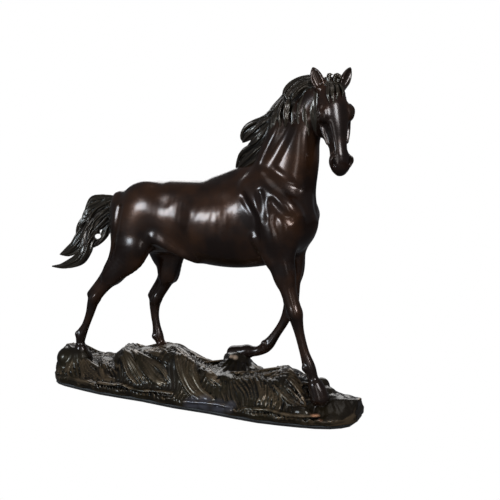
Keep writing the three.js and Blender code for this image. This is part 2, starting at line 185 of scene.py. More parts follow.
class Ball(Tube):
    """An ellipsoid: its three half sizes lie along, across, and along their cross product."""

    def __init__(self, centre, sizes, along=X, across=Y):
        self.centre = np.asarray(centre, float)
        self.along = unit(along)
        self.cross = unit(np.asarray(across, float) - self.along * self.along.dot(across))
        self.third = np.cross(self.along, self.cross)
        self.half = sizes
        reach = max(sizes)
        self.low, self.high = self.centre - reach, self.centre + reach

    def distance(self, x, y, z, margin):
        off = from_point((x, y, z), self.centre)
        parts = [dot(off, way) for way in (self.along, self.cross, self.third)]
        near = np.sqrt(sum((part / half) ** 2 for part, half in zip(parts, self.half))) + 1e-6
        slope = np.sqrt(sum((part / half**2) ** 2 for part, half in zip(parts, self.half))) + 1e-6
        return (near * (near - 1) / slope).astype(np.float32)


class Clay:
    """A block of voxels from low to high, in millimetres."""

    def __init__(self, low, high, voxel):
        self.voxel = voxel * SPACING
        self.low = np.array(low, float)
        counts = np.ceil((np.array(high) - self.low) / self.voxel).astype(int) + 1
        self.field = np.full(counts, FAR, np.float32)
        self.axes = [(lo + self.voxel * np.arange(n)).astype(np.float32) for lo, n in zip(self.low, counts)]

    def twin(self):
        """A copy that stays whole while this clay is cut."""
        other = copy.copy(self)
        other.field = self.field.copy()
        return other

    def _measure(self, shape, blend):
        """The slices near a shape, and its distances there."""
        margin = blend + 3 * self.voxel
        cut = window(self.axes, shape.low - margin, shape.high + margin)
        if cut is None:
            return None, None
        return cut, shape.distance(*cut_axes(self.axes, cut), margin)

    def add(self, shape, blend):
        """Joins a shape on, with a fillet about blend wide."""
        cut, other = self._measure(shape, blend)
        if cut:
            self.field[cut] = joined(self.field[cut], other, blend)

    def carve(self, shape, blend):
        """Cuts a shape away, with its edges rounded by blend."""
        cut, other = self._measure(shape, blend)
        if cut:
            self.field[cut] = -joined(-self.field[cut], other, blend)

    def swell(self, shape, height, width):
        """Raises the surface by height near a shape, fading over width. Below 0, it presses it in."""
        cut, other = self._measure(shape, width)
        if cut:
            near = np.clip(1 - np.maximum(other, 0) / width, 0, 1)
            self.field[cut] -= height * near * near * (3 - 2 * near)

    def in_front(self, cuts, lap=0.0):
        """How far each place is past whichever of some planes it is furthest past.

        The planes are first moved out by lap. The answer is negative behind them all.
        """
        past = [dot(from_point(self.axes, point), unit(normal)) - lap for point, normal in cuts]
        return np.maximum.reduce(past).astype(np.float32)

    def keep(self, *cuts, lap=0.0):
        """Keeps only what is behind all of the planes, moved out by lap."""
        np.maximum(self.field, self.in_front(cuts, lap), out=self.field)

    def leave(self, *cuts, lap=0.0):
        """Keeps only what is in front of any of the planes, moved in by lap."""
        np.maximum(self.field, -self.in_front(cuts, -lap), out=self.field)

    def smooth(self, passes):
        """Softens the surface by a blur that takes in two neighbours along each axis."""
        band = 4 * self.voxel
        field = np.clip(self.field, -band, band)
        for _ in range(passes):
            for axis in range(3):
                field = np.moveaxis(field, axis, 0)
                blurred = field.copy()
                blurred[1:-1] = 0.25 * field[:-2] + 0.5 * field[1:-1] + 0.25 * field[2:]
                field = np.moveaxis(blurred, 0, axis)
        self.field = np.ascontiguousarray(field)

    def slope(self, points):
        """The way out of the surface at each of many points."""
        steps = np.eye(3) * self.voxel
        rise = np.stack([self.sample(points + step) - self.sample(points - step) for step in steps], axis=1)
        return rise / np.maximum(np.linalg.norm(rise, axis=1), 1e-9)[:, None]

    def sample(self, points):
        """The distance at each of many points, from the eight voxels round it."""
        place = (points - self.low) / self.voxel
        place = np.clip(place, 0, np.array(self.field.shape) - 1.001)
        base = place.astype(int)
        t = place - base
        total = np.zeros(len(points))
        for corner in np.ndindex(2, 2, 2):
            weight = np.where(corner, t, 1 - t).prod(axis=1)
            total += weight * self.field[tuple((base + corner).T)]
        return total

    def surface(self):
        """The clay's skin: points in millimetres and four-sided faces, of its biggest body only."""
        band = 3 * self.voxel
        skin = openvdb.FloatGrid(band)
        skin.copyFromArray(np.clip(self.field, -band, band))
        points, quads = skin.convertToQuads(0.0)
        points = points.astype(float) * self.voxel + self.low
        return biggest_body(points, quads.astype(np.int64))


def biggest_body(points, quads):
    """The points and faces of the largest connected body alone."""
    label = np.arange(len(points))
    ends_a = quads.ravel()
    ends_b = np.roll(quads, 1, axis=1).ravel()
    while True:
        low = np.minimum(label[ends_a], label[ends_b])
        new = label.copy()
        np.minimum.at(new, ends_a, low)
        np.minimum.at(new, ends_b, low)
        new = new[new]
        if np.array_equal(new, label):
            break
        label = new
    names, sizes = np.unique(label, return_counts=True)
    keep = label == names[sizes.argmax()]
    renumber = np.cumsum(keep) - 1
    return points[keep], renumber[quads[keep[quads[:, 0]]]]


def normals_of(points, quads):
    """Smooth normals, from the faces round each point by their area."""
    a, b, c, d = (points[quads[:, i]] for i in range(4))
    face = np.cross(c - a, d - b)
    normal = np.zeros_like(points)
    for i in range(4):
        for axis in range(3):
            normal[:, axis] += np.bincount(quads[:, i], face[:, axis], len(points))
    return normal / np.maximum(np.linalg.norm(normal, axis=1), 1e-9)[:, None]


def make_mesh(name, points, quads, attributes):
    """A smooth-shaded object with a named value for each point in each attribute."""
    mesh = bpy.data.meshes.new(name)
    mesh.vertices.add(len(points))
    mesh.vertices.foreach_set("co", (points * MM).astype(np.float32).ravel())
    mesh.loops.add(quads.size)
    mesh.loops.foreach_set("vertex_index", quads.astype(np.int32).ravel())
    mesh.polygons.add(len(quads))
    mesh.polygons.foreach_set("loop_start", np.arange(0, quads.size, 4, dtype=np.int32))
    mesh.update(calc_edges=True)
    mesh.polygons.foreach_set("use_smooth", np.ones(len(mesh.polygons), bool))
    for key, values in attributes.items():
        mesh.attributes.new(key, "FLOAT", "POINT").data.foreach_set("value", values.astype(np.float32))
    piece = bpy.data.objects.new(name, mesh)
    bpy.context.collection.objects.link(piece)
    return piece


def relief_of(clay, points, normals):
    """How sunk each point is: 0.5 where flat, towards 1 in hollows and towards 0 on sharp ridges."""
    sunk = np.zeros(len(points))
    for reach, weight in ((0.7, 0.5), (1.6, 0.3), (4.0, 0.2)):
        outside = np.clip(1 - clay.sample(points + normals * reach) / reach, -1, 1)
        inside = np.clip(1 + clay.sample(points - normals * reach) / reach, -1, 1)
        sunk += weight * (outside - inside)
    return 0.5 + 0.5 * sunk


def closeness(points, marks):
    """1 at the middle of each mark of [x, y, z, radius], fading to 0 at its radius."""
    value = np.zeros(len(points))
    for x, y, z, radius in marks:
        far = np.linalg.norm(points - np.array([x, y, z]), axis=1) / radius
        value = np.maximum(value, np.clip(1.6 * (1 - far), 0, 1))
    return value


def cast(name, clay, material, nodes, whole=None, marks=None):
    """Turns clay into a piece that stands for CAD nodes.

    Whole is the clay before it was cut, for its relief. Marks are named lists of spots: worn ones, and ones
    of painted glint.
    """
    points, quads = clay.surface()
    around = whole or clay
    normals = normals_of(points, quads)
    # The skin is shaded as one surface across the cuts between castings.
    skin = np.abs(around.sample(points)) < 0.4 * clay.voxel
    normals[skin] = around.slope(points[skin])
    # Relief tells the materials where to rub the ridges and where to paint shade into the hollows.
    attributes = {"relief": relief_of(around, points, normals)}
    for key, spots in (marks or {}).items():
        attributes[key] = closeness(points, spots)
    piece = make_mesh(name, points, quads, attributes)
    piece.data.normals_split_custom_set_from_vertices(normals.astype(np.float32))
    piece.data.materials.append(material)
    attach(piece, ROOT)
    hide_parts(*nodes)
    return piece


# ---------------------------------------------------------------- the horse's frame

POLL = np.array([91.0, -3.1, 201.0])  # top of the skull, between the ears
HEAD_TURN = math.radians(52)  # to the horse's right
HEAD_NOD = math.radians(74)  # of the face below level
HEAD_LEAN = math.radians(4)  # of the muzzle to its left
FACE_SIZE = np.array([0.91, 1.06, 0.97])  # how long, wide and deep, beside the stations below
HEAD_ROTATION = np.array(
    Matrix.Rotation(-HEAD_TURN, 3, "Z")
    @ Matrix.Rotation(HEAD_NOD, 3, "Y")
    @ Matrix.Rotation(HEAD_LEAN, 3, "Z")
)


def on_head(point):
    """From the head's frame (x down the face, y left, z out of the forehead) to the statuette's."""
    return POLL + HEAD_ROTATION @ (np.asarray(point, float) * FACE_SIZE)


def head_way(direction):
    return HEAD_ROTATION @ np.asarray(direction, float)


def head_tube(stations, across=Y, **options):
    placed = [[*on_head(s[:3]), *s[3:]] for s in stations]
    return Tube(placed, across=head_way(across), **options)


def head_ball(centre, sizes, along=X):
    return Ball(on_head(centre), sizes, head_way(along), head_way(Y))


def mirrored(points, hand):
    """Left-hand points for hand 1, and their mirror image across the middle for -1."""
    return [[p[0], hand * p[1], *p[2:]] for p in points]


# ---------------------------------------------------------------- trunk and neck

BARREL = [
    [-66, 0, 115, 4, 5, 6],
    [-62, 0, 115, 11, 14, 15],
    [-54, 0, 117, 15.5, 20, 21],
    [-42, 0, 118.5, 17, 24, 23],
    [-28, 0, 119, 17.5, 27, 23],
    [-12, 0, 118.5, 19, 27, 24.5],
    [5, 0, 118, 20.5, 27, 27.5],
    [22, 0, 118, 20, 29.5, 29],
    [37, 0, 119, 18, 31, 29],
    [52, 0, 120, 16.5, 28, 27],
    [64, 0, 120, 15, 21, 22],
    [72, 0, 120, 11, 14, 14],
    [77, 0, 120, 5, 6, 6],
]
NECK = [
    [50, 0, 130, 15, 25, 22],
    [57, 0, 145, 13, 25, 21],
    [63.5, 0, 159, 10.6, 20.5, 17.5],
    [69, -0.5, 172, 9, 15.5, 15],
    [75.5, -1, 184, 7.9, 12, 13],
    [83, -1.5, 194, 7, 9.5, 10.5],
    [90, -2, 200, 5.5, 6, 7],
]


def trunk(clay):
    clay.add(Tube(BARREL, step=2.5), 4)
    clay.add(Tube(NECK, across=-Y, step=2), 12)
    # The croup is two round muscles with the spine sunk between them.
    for hand in (-1, 1):
        clay.add(Ball([-37, hand * 9.5, 125.5], (21, 11, 20)), 5)
        clay.add(Ball([-56, hand * 8.5, 122], (9, 9, 17), along=(1, 0, 0.25)), 5)
        back = [[26, 6.2, 138.5, 6.2, 5.5, 5.5], [6, 6.5, 137, 6.2, 6, 6], [-18, 7, 137.2, 6.6, 6, 6]]
        clay.add(Tube(mirrored(back, hand)), 7)
    withers = [[44, 0, 148, 5, 5, 5], [30, 0, 149, 4.5, 4, 4], [14, 0, 144, 4, 3, 3]]
    clay.add(Tube(withers), 9)
    clay.swell(Tube([[-54, 0, 141, 1, 1, 1], [-34, 0, 147, 1, 1, 1], [-10, 0, 147, 1, 1, 1]]), -0.9, 4)


def flanks(clay):
    for hand in (-1, 1):
        fold = [[-26, 15.5, 107, 2.2], [-16, 14.5, 102, 1.8], [-6, 11.5, 97, 1.2], [2, 8, 93.5, 0.6]]
        clay.add(Tube(mirrored(fold, hand)), 7)
        hollow = [[-6, 20.5, 122, 2.5], [-8, 20, 112, 2.5], [-4, 18.5, 104, 2]]
        clay.swell(Tube(mirrored(hollow, hand)), -1.3, 9)
        for rib in range(6):
            x = 2 + 7 * rib
            curve = [[x + 4, 20, 131, 0.4], [x, 20.8, 120, 0.4], [x - 3, 19, 108, 0.4]]
            clay.swell(Tube(mirrored(curve, hand)), 0.12, 3.2)


def shoulders(clay):
    for hand in (-1, 1):
        blade = [
            [47, 9, 146, 6, 6, 6],
            [58, 13.5, 138, 6, 6.5, 6.5],
            [69, 14.5, 130, 5.5, 6, 6],
            [74, 13, 124, 4, 5, 5],
        ]
        clay.add(Tube(mirrored(blade, hand)), 4)
        rear = [[42, 11, 142, 5.5, 6, 6], [51, 15.5, 132, 5, 6.5, 6.5], [58, 17, 124, 4.5, 5.5, 5.5]]
        clay.add(Tube(mirrored(rear, hand)), 4)
        triceps = Ball([59.5, hand * 15, 116], (13.5, 6.3, 8.5), along=(0.42, 0, -1))
        clay.add(triceps, 3)
        arm = Ball([69, hand * 13.5, 119], (10, 6.3, 6.5), along=(0.2, 0, -1))
        clay.add(arm, 3)
        clay.add(Ball([71.5, hand * 6.2, 115], (7.5, 6, 11), along=(1, 0, -0.25)), 3.5)
        elbow = [[50, 15.5, 110, 3.2], [55, 14.5, 102, 3.4], [59, 13, 96, 3]]
        clay.add(Tube(mirrored(elbow, hand)), 4)
        # Creases that part the muscles.
        for crease, depth in (
            ([[41, 18.5, 136], [50, 20.5, 123], [50.5, 20, 112], [53, 17, 103]], 1.5),
            ([[53, 18.5, 138], [55.5, 21, 129], [57, 22, 122]], 1.0),
            ([[62, 20, 133], [67, 21, 127.5], [73, 19, 122.5]], 1.2),
            ([[64, 21.5, 121], [66, 20.5, 113], [65, 18, 105]], 1.0),
            ([[60, 12.5, 152], [68, 13.5, 146.5], [75, 10, 141]], 1.5),
        ):
            sunk = [[*p, 0.5] for p in mirrored(crease, hand)]
            clay.swell(Tube(sunk), -depth, 3.2)
    clay.swell(Tube([[83, 0, 138, 0.5], [80, 0, 124, 0.5], [77, 0, 112, 0.5]]), -1.2, 3.5)


def neck_muscles(clay):
    for hand in (-1, 1):
        front = Ball([69.5, hand * 7.0, 157], (20, 4.6, 9), along=(0.1, 0, 1))
        clay.add(front, 8)
        crest = Ball([57, hand * 6.2, 167], (20, 5.4, 8), along=(0.45, 0, 1))
        clay.add(crest, 7)
        gully = [[68, 10, 181, 0.5], [65.5, 11.2, 173, 0.5], [60, 12.5, 163, 0.5], [55, 14, 155, 0.5]]
        clay.swell(Tube(mirrored(gully, hand)), -2.2, 6.5)
        vein = [[83, 6.5, 178, 0.4], [80.5, 8.5, 163, 0.4], [80, 9, 150, 0.4]]
        clay.swell(Tube(mirrored(vein, hand)), -0.35, 4)


# ---------------------------------------------------------------- legs

# Stations run from the shoulder or thigh down to the hoof, and fore is forwards.
LEGS = {
    "right_hindleg": [
        [-42, -11, 126, 7, 13, 12],
        [-46, -12.5, 112, 8.4, 17, 16],
        [-50, -13.5, 97, 7.6, 15.5, 13.5],
        [-59, -14, 84, 5.4, 8.8, 9],
        [-69, -14, 73, 3.8, 5.2, 5.8],
        [-78, -14, 62.5, 3.6, 4.4, 5],
        [-82.5, -14, 51, 2.6, 3.3, 3.4],
        [-86.5, -14, 42, 2.5, 3, 3.1],
        [-90.5, -14, 34.5, 3.4, 3.7, 4.3],
        [-91.7, -14, 28, 2.9, 3.2, 3.3],
        [-91.3, -14, 24, 4.0, 4.2, 4.0],
        [-90, -14, 18, 5, 6, 5],
    ],
    "left_hindleg": [
        [-40, 11, 126, 7, 13, 12],
        [-38, 12.5, 112, 8.4, 17, 16],
        [-34, 13, 96, 7.6, 14.5, 14.5],
        [-32.5, 13, 84, 5.4, 9, 9],
        [-36, 13, 74, 3.8, 5.6, 5.6],
        [-43.5, 13, 61.5, 3.6, 4.7, 5.2],
        [-44.8, 13, 51, 2.6, 3.4, 3.5],
        [-43.5, 13, 42, 2.5, 3.1, 3.1],
        [-41.8, 13, 34.5, 3.4, 3.8, 4.2],
        [-39.7, 13, 29, 2.9, 3.3, 3.3],
        [-38, 13, 25.5, 4.0, 4.6, 4.0],
        [-36, 13, 20.5, 5, 6, 5],
    ],
    "right_foreleg": [
        [60, -10, 130, 6, 12, 11],
        [64, -12, 119, 7, 12, 13],
        [63.5, -12.5, 104, 6.3, 10.8, 10.2],
        [66, -12, 92, 5, 7.6, 7.8],
        [70, -12, 78, 3.9, 5, 5.4],
        [74, -12, 65, 3.9, 4.8, 4.6],
        [77, -12, 54, 2.6, 3.2, 3.3],
        [80.5, -12, 42, 2.5, 3.0, 3.1],
        [84, -12, 33, 3.3, 3.7, 4.2],
        [86.5, -12, 26, 2.9, 3.3, 3.4],
        [88, -12, 21.5, 4.0, 4.6, 4.2],
        [89.5, -12, 14, 5, 6.2, 5],
    ],
    "left_foreleg": [
        [62, 11, 132, 6.5, 13, 10],
        [65.5, 13, 120, 7.6, 12, 12],
        [63.5, 12.5, 105, 6.4, 8.4, 9.2],
        [63, 12, 92, 5, 5.8, 6.8],
        [63, 12, 80, 3.9, 4.5, 5.2],
        [61.5, 12, 68, 4.0, 4.7, 4.6],
        [57.5, 12, 56, 2.6, 3.3, 3.3],
        [51.5, 12, 46, 2.5, 3.0, 3.0],
        [45, 12, 37, 3.4, 3.8, 4.1],
        [38.5, 12, 32.6, 3.0, 3.2, 3.4],
        [30, 12, 31.4, 4.1, 4.0, 4],
        [20, 12, 29.6, 4.9, 5, 4.6],
    ],
}
# Places in each list of stations. The arm is the foreleg's forearm or the hind leg's gaskin.
ARM_TOP, ARM, ARM_END = 2, 3, 4
KNEE, CANNON, ANKLE, PASTERN, CORONET, TOE = 5, 6, 8, 9, 10, 11


def leg(clay, name):
    stations = LEGS[name]
    side = np.sign(stations[0][1])
    clay.add(Tube(stations, step=2), 6)
    points = np.array(stations)[:, :3]
    down_arm = points[ARM_END] - points[ARM_TOP]

    def beside(index, across, fore):
        """A point off a station, across the leg and fore of it."""
        along = unit(points[min(index + 1, TOE)] - points[index - 1])
        return points[index] + Y * across + np.cross(along, Y) * fore

    for hand in (-1, 1):
        # The back tendon stands clear of the bone, with a groove down each side between them.
        groove = [[*beside(i, hand * 3.0, -0.9), 0.3] for i in (KNEE, CANNON, CANNON + 1, ANKLE)]
        clay.swell(Tube(groove), -0.55, 1.5)
        clay.add(Ball(beside(ANKLE, hand * 2.1, -2.4), (2.2, 1.6, 2.0), along=Z), 1.6)
        knob = Ball(beside(KNEE, hand * 2.7, 0.4), (3.6, 1.5, 2.9), along=points[CANNON] - points[KNEE])
        clay.add(knob, 2)
    if "hind" in name:
        heel = [
            [*beside(ARM, 0, -6.0), 1.9],
            [*beside(ARM_END, 0, -5.2), 1.6],
            [*beside(KNEE, 0, -5.2), 2.1],
        ]
        clay.add(Tube(heel), 2.5)
        for hand in (-1, 1):
            hollow = [[*beside(ARM_END, hand * 3.6, -2.6), 0.4], [*beside(KNEE, hand * 3.6, -2.4), 0.4]]
            clay.swell(Tube(hollow), -0.8, 2.2)
            calf = Ball(beside(ARM, hand * 3.2, -1.5), (11, 3, 5.5), along=down_arm)
            clay.add(calf, 3)
            shin = Ball(beside(ARM, hand * 2.6, 4.2), (10, 2.6, 3.4), along=down_arm)
            clay.add(shin, 2.5)
        outside = [[-52, 19.0, 127, 0.5], [-54, 20.5, 114, 0.5], [-58, 18.5, 100, 0.5], [-60, 17, 90, 0.5]]
        if side > 0:
            outside = [[-50, 19.0, 127, 0.5], [-49, 20.5, 114, 0.5], [-47, 19, 100, 0.5], [-42, 17, 90, 0.5]]
        clay.swell(Tube(mirrored(outside, side)), -1.3, 3.6)
        kneecap = points[ARM_TOP] + [8.5 if side < 0 else 9.5, side * 3, 3]
        clay.add(Ball(kneecap, (5, 3.4, 8), along=Z), 6)
    else:
        for hand in (-1, 1):
            front = Ball(beside(ARM, hand * 2.0, 2.8), (11, 2.8, 4), along=down_arm)
            clay.add(front, 2)
            rear = Ball(beside(ARM, hand * 2.4, -3.2), (12, 2.6, 3.8), along=down_arm)
            clay.add(rear, 2)
        cap = Ball(beside(KNEE, 0, 2.2), (4.2, 3.2, 2.4), along=points[KNEE + 1] - points[KNEE - 1])
        clay.add(cap, 1.5)
        pisiform = Ball(beside(KNEE, 0, -4.3), (2.6, 1.6, 1.8), along=Z)
        clay.add(pisiform, 1.5)
    hoof(clay, points)


def hoof(clay, points):
    """The hoof flares to a flat sole, below a soft ridge where the hair ends."""
    along = unit(points[TOE] - points[PASTERN])
    fore = np.cross(along, Y)
    top, toe = points[CORONET], points[TOE]
    wall = [
        [*(top - along * 0.2), 4.1, 4.6, 4.2],
        [*(top + along * 2.8 + fore * 0.6), 4.9, 5.6, 4.6],
        [*(toe + fore * 0.9), 5.4, 6.6, 4.8],
    ]
    clay.add(Tube(wall, step=1), 0.7)
    ring = [[*(top - along * 0.6), 4.3, 4.8, 4.4], [*(top + along * 0.5), 4.4, 5.0, 4.5]]
    clay.add(Tube(ring, step=1), 1.0)


def sculpt_body(clay):
    trunk(clay)
    shoulders(clay)
    for name in LEGS:
        leg(clay, name)
    flanks(clay)
    neck_muscles(clay)
    dock(clay)
    clay.smooth(3)


def dock(clay):
    root = [[-54, 0, 129, 4.5, 5, 4.5], [-64, -1, 130.5, 4.6, 5, 4.6], [-73, -3.5, 127.5, 4.6, 5, 4.6]]
    clay.add(Tube(root), 4)


# ---------------------------------------------------------------- head

HEAD = [
    [-3, 0, -0.5, 4, 3, 4],
    [2, 0, -0.3, 7, 5.5, 7],
    [9, 0, 0.5, 8.4, 7.0, 8],
    [16, 0, 0.5, 9.2, 7.4, 8],
    [22, 0, 0.2, 8.8, 7.0, 8],
    [29, 0, 0, 6.6, 6.0, 7],
    [36, 0, -0.3, 5.6, 4.8, 6],
    [43, 0, -0.8, 5.2, 4.2, 5.5],
    [49, 0, -1.4, 5.5, 4.2, 5.4],
    [53.5, 0, -2.4, 5.2, 3.6, 4.2],
    [56.5, 0, -3.4, 3.6, 2, 2.6],
]
JAW = [
    [6, 0, -8, 5.5, 5, 6],
    [15, 0, -9.5, 6.4, 6, 8],
    [23, 0, -9.5, 6.2, 6, 8.2],
    [30, 0, -8, 4.9, 5, 6],
    [37, 0, -6.2, 3.6, 4, 4],
    [44, 0, -6, 3.2, 3, 3.2],
    [50, 0, -6.6, 3.5, 2.8, 3.0],
    [54, 0, -6.8, 2.6, 2, 2.2],
]


NOSE_BRIDGE = [
    [15, 0, 5.6, 6.4, 2.2, 2],
    [22, 0, 5.4, 6.0, 1.9, 2],
    [30, 0, 4.5, 4.8, 1.4, 2],
    [38, 0, 2.7, 4.0, 1.3, 2],
    [47, 0, 1.6, 3.6, 1.2, 2],
]


def skull(clay):
    clay.add(head_tube(HEAD, step=1), 3)
    clay.add(head_tube(JAW, step=2), 2.5)
    clay.add(head_tube(NOSE_BRIDGE, step=0.8), 1.5)
    for hand in (-1, 1):
        clay.add(head_ball([19, hand * 5.4, -9.0], (10, 3.6, 9)), 1.8)
        clay.add(head_ball([19.0, hand * 7.2, 2.4], (6.5, 3.1 if hand < 0 else 2.3, 4.2)), 2.6)
        crest = [[23, 8.4, -1.6, 1.1], [30, 7.4, -1.6, 1.2], [38, 5.9, -1.8, 0.8]]
        clay.add(head_tube(mirrored(crest, hand)), 1.0)
        dish = [[25, 7.2, 2.2, 0.5], [34, 5.8, 1.4, 0.5], [43, 4.9, 0.4, 0.5]]
        clay.swell(head_tube(mirrored(dish, hand)), -1.0, 2.8)
        temple = head_ball([12.5, hand * 8.6, 4.2], (3.2, 1.2, 1.8))
        clay.swell(temple, -0.8, 2.2)
        bar = [[30, 3.8, -13, 0.5], [38, 2.6, -9.8, 0.5]]
        clay.swell(head_tube(mirrored(bar, hand)), 0.3, 2.0)
        eye(clay, hand)
        nostril(clay, hand)
    clay.swell(head_tube([[26, 0, -16, 0.6], [38, 0, -10.5, 0.6]]), -1.2, 2.2)
    muzzle(clay)


def eye(clay, hand):
    clay.carve(head_ball([20.0, hand * 10.6, 1.8], (3.1, 2.0, 2.3)), 0.5)
    clay.add(head_ball([20.2, hand * 8.6, 1.3], (2.1, 1.7, 1.8)), 0.2)
    upper = [[16.9, 9.5, 1.6, 0.42], [18.6, 10.4, 3.0, 0.5], [20.8, 10.4, 3.0, 0.5], [23.3, 9.2, 0.6, 0.4]]
    lower = [[16.9, 9.5, 1.6, 0.4], [18.8, 10.0, -0.3, 0.4], [21.2, 9.7, -0.7, 0.4], [23.3, 9.2, 0.6, 0.4]]
    for lid in (upper, lower):
        clay.add(head_tube(mirrored(lid, hand), step=0.8), 0.5)
    brow = [[15.2, 8.4, 4.6, 0.8], [18.2, 9.5, 5.0, 1.0], [21.8, 9.2, 4.4, 0.9], [24.6, 8.0, 2.8, 0.6]]
    clay.add(head_tube(mirrored(brow, hand), step=1.2), 1.0)


def nostril(clay, hand):
    clay.add(head_ball([50.4, hand * 4.8, -1.0], (3.6, 1.7, 2.3), along=(1, 0, -0.3)), 1.4)
    rim = [[47.8, 4.6, 2.4, 0.5], [49.6, 5.9, 2.0, 0.8], [51.8, 6.2, 0.4, 0.8], [53.6, 5.2, -1.2, 0.6]]
    clay.add(head_tube(mirrored(rim, hand), step=0.8), 0.6)
    opening = [[49.4, 4.7, 2.2, 0.5], [51.4, 4.9, 1.3, 0.95], [53.0, 4.4, 0.2, 0.8]]
    clay.carve(head_tube(mirrored(opening, hand), step=0.8), 0.4)


def muzzle(clay):
    clay.add(head_ball([54.0, 0, -3.4], (3.0, 5.0, 3.0)), 1.2)
    clay.add(head_ball([51.0, 0, -7.8], (2.6, 2.6, 1.7)), 1.2)
    for hand in (-1, 1):
        lips = [[45.5, 4.8, -4.8, 0.3], [50, 4.6, -5.4, 0.3], [54, 3.4, -5.9, 0.3], [56.2, 0, -6.1, 0.3]]
        clay.carve(head_tube(mirrored(lips, hand), step=0.8), 0.5)


EAR_LENGTH = 14.0
# The share of the ear's length, and its half width and half depth there.
EAR_OUTLINE = (
    (0, 2.9, 2.3),
    (0.2, 3.6, 2.5),
    (0.42, 4.0, 2.3),
    (0.68, 3.4, 1.8),
    (0.88, 2.2, 1.3),
    (1.0, 0.9, 0.8),
)


def ear(clay, hand):
    """A pointed shell with a bowl in its front. The left one leans out more."""
    lean = 0.52 if hand > 0 else 0.23
    way = unit([-1, hand * lean, 0.1])
    root = np.array([1.5, hand * 6.0, 1.0])
    wide = unit(np.cross(way, [0.1, hand * 0.55, 0.83]))
    front = np.cross(way, wide)
    if front[2] < 0:
        front = -front
    shell = []
    bowl = []
    for share, width, depth in EAR_OUTLINE:
        middle = root + way * EAR_LENGTH * share + front * 1.6 * share * (1 - share)
        shell.append([*middle, width, depth, depth])
        if 0.12 < share < 0.95:
            bowl.append([*(middle + front * 1.3), width * 0.66, depth * 0.8, depth * 0.8])
    clay.add(head_tube(shell, across=wide, step=1), 1.2)
    clay.carve(head_tube(bowl, across=wide, step=1), 0.5)


def sculpt_head(clay):
    skull(clay)
    for hand in (-1, 1):
        ear(clay, hand)
    clay.smooth(2)


# ---------------------------------------------------------------- hair

LOCK_SHAPE = (0.75, 1.0, 1.0, 0.8, 0.2)  # a lock's width from root to tip, as a share of its full width


def lock(points, wide, thick, strands, depth=0.1, turns=0.3, seed=0, across=Y):
    """A tapering lock of hair through points. Thick is its half size along across."""
    shares = np.linspace(0, 1, len(points))
    sizes = np.interp(shares, np.linspace(0, 1, len(LOCK_SHAPE)), LOCK_SHAPE)
    stations = [[*p, thick * s, wide * s, wide * s] for p, s in zip(points, sizes)]
    return Tube(stations, across=across, step=1.5, strands=(strands, depth, turns), seed=seed)


def on_side(body, x, z, hand, lift):
    """The point at x and z on one side of a body of clay, lifted off it."""
    reach = np.linspace(26, 0, 105)
    points = np.stack([np.full_like(reach, x), hand * reach, np.full_like(reach, z)], axis=1)
    inside = np.flatnonzero(body.sample(points) < 0)
    y = reach[inside[0]] if len(inside) else 2.0
    return [x, hand * (y + lift), z]


CREST = [
    [83, -1.5, 201, 5, 3.5],
    [74, -1, 200, 6, 5],
    [66, -0.5, 192, 7, 6],
    [57, 0, 180, 7.5, 7],
    [48, 0, 166, 7.5, 7],
    [40, 0, 157, 6, 5],
    [33, 0, 152.5, 3, 2.5],
]
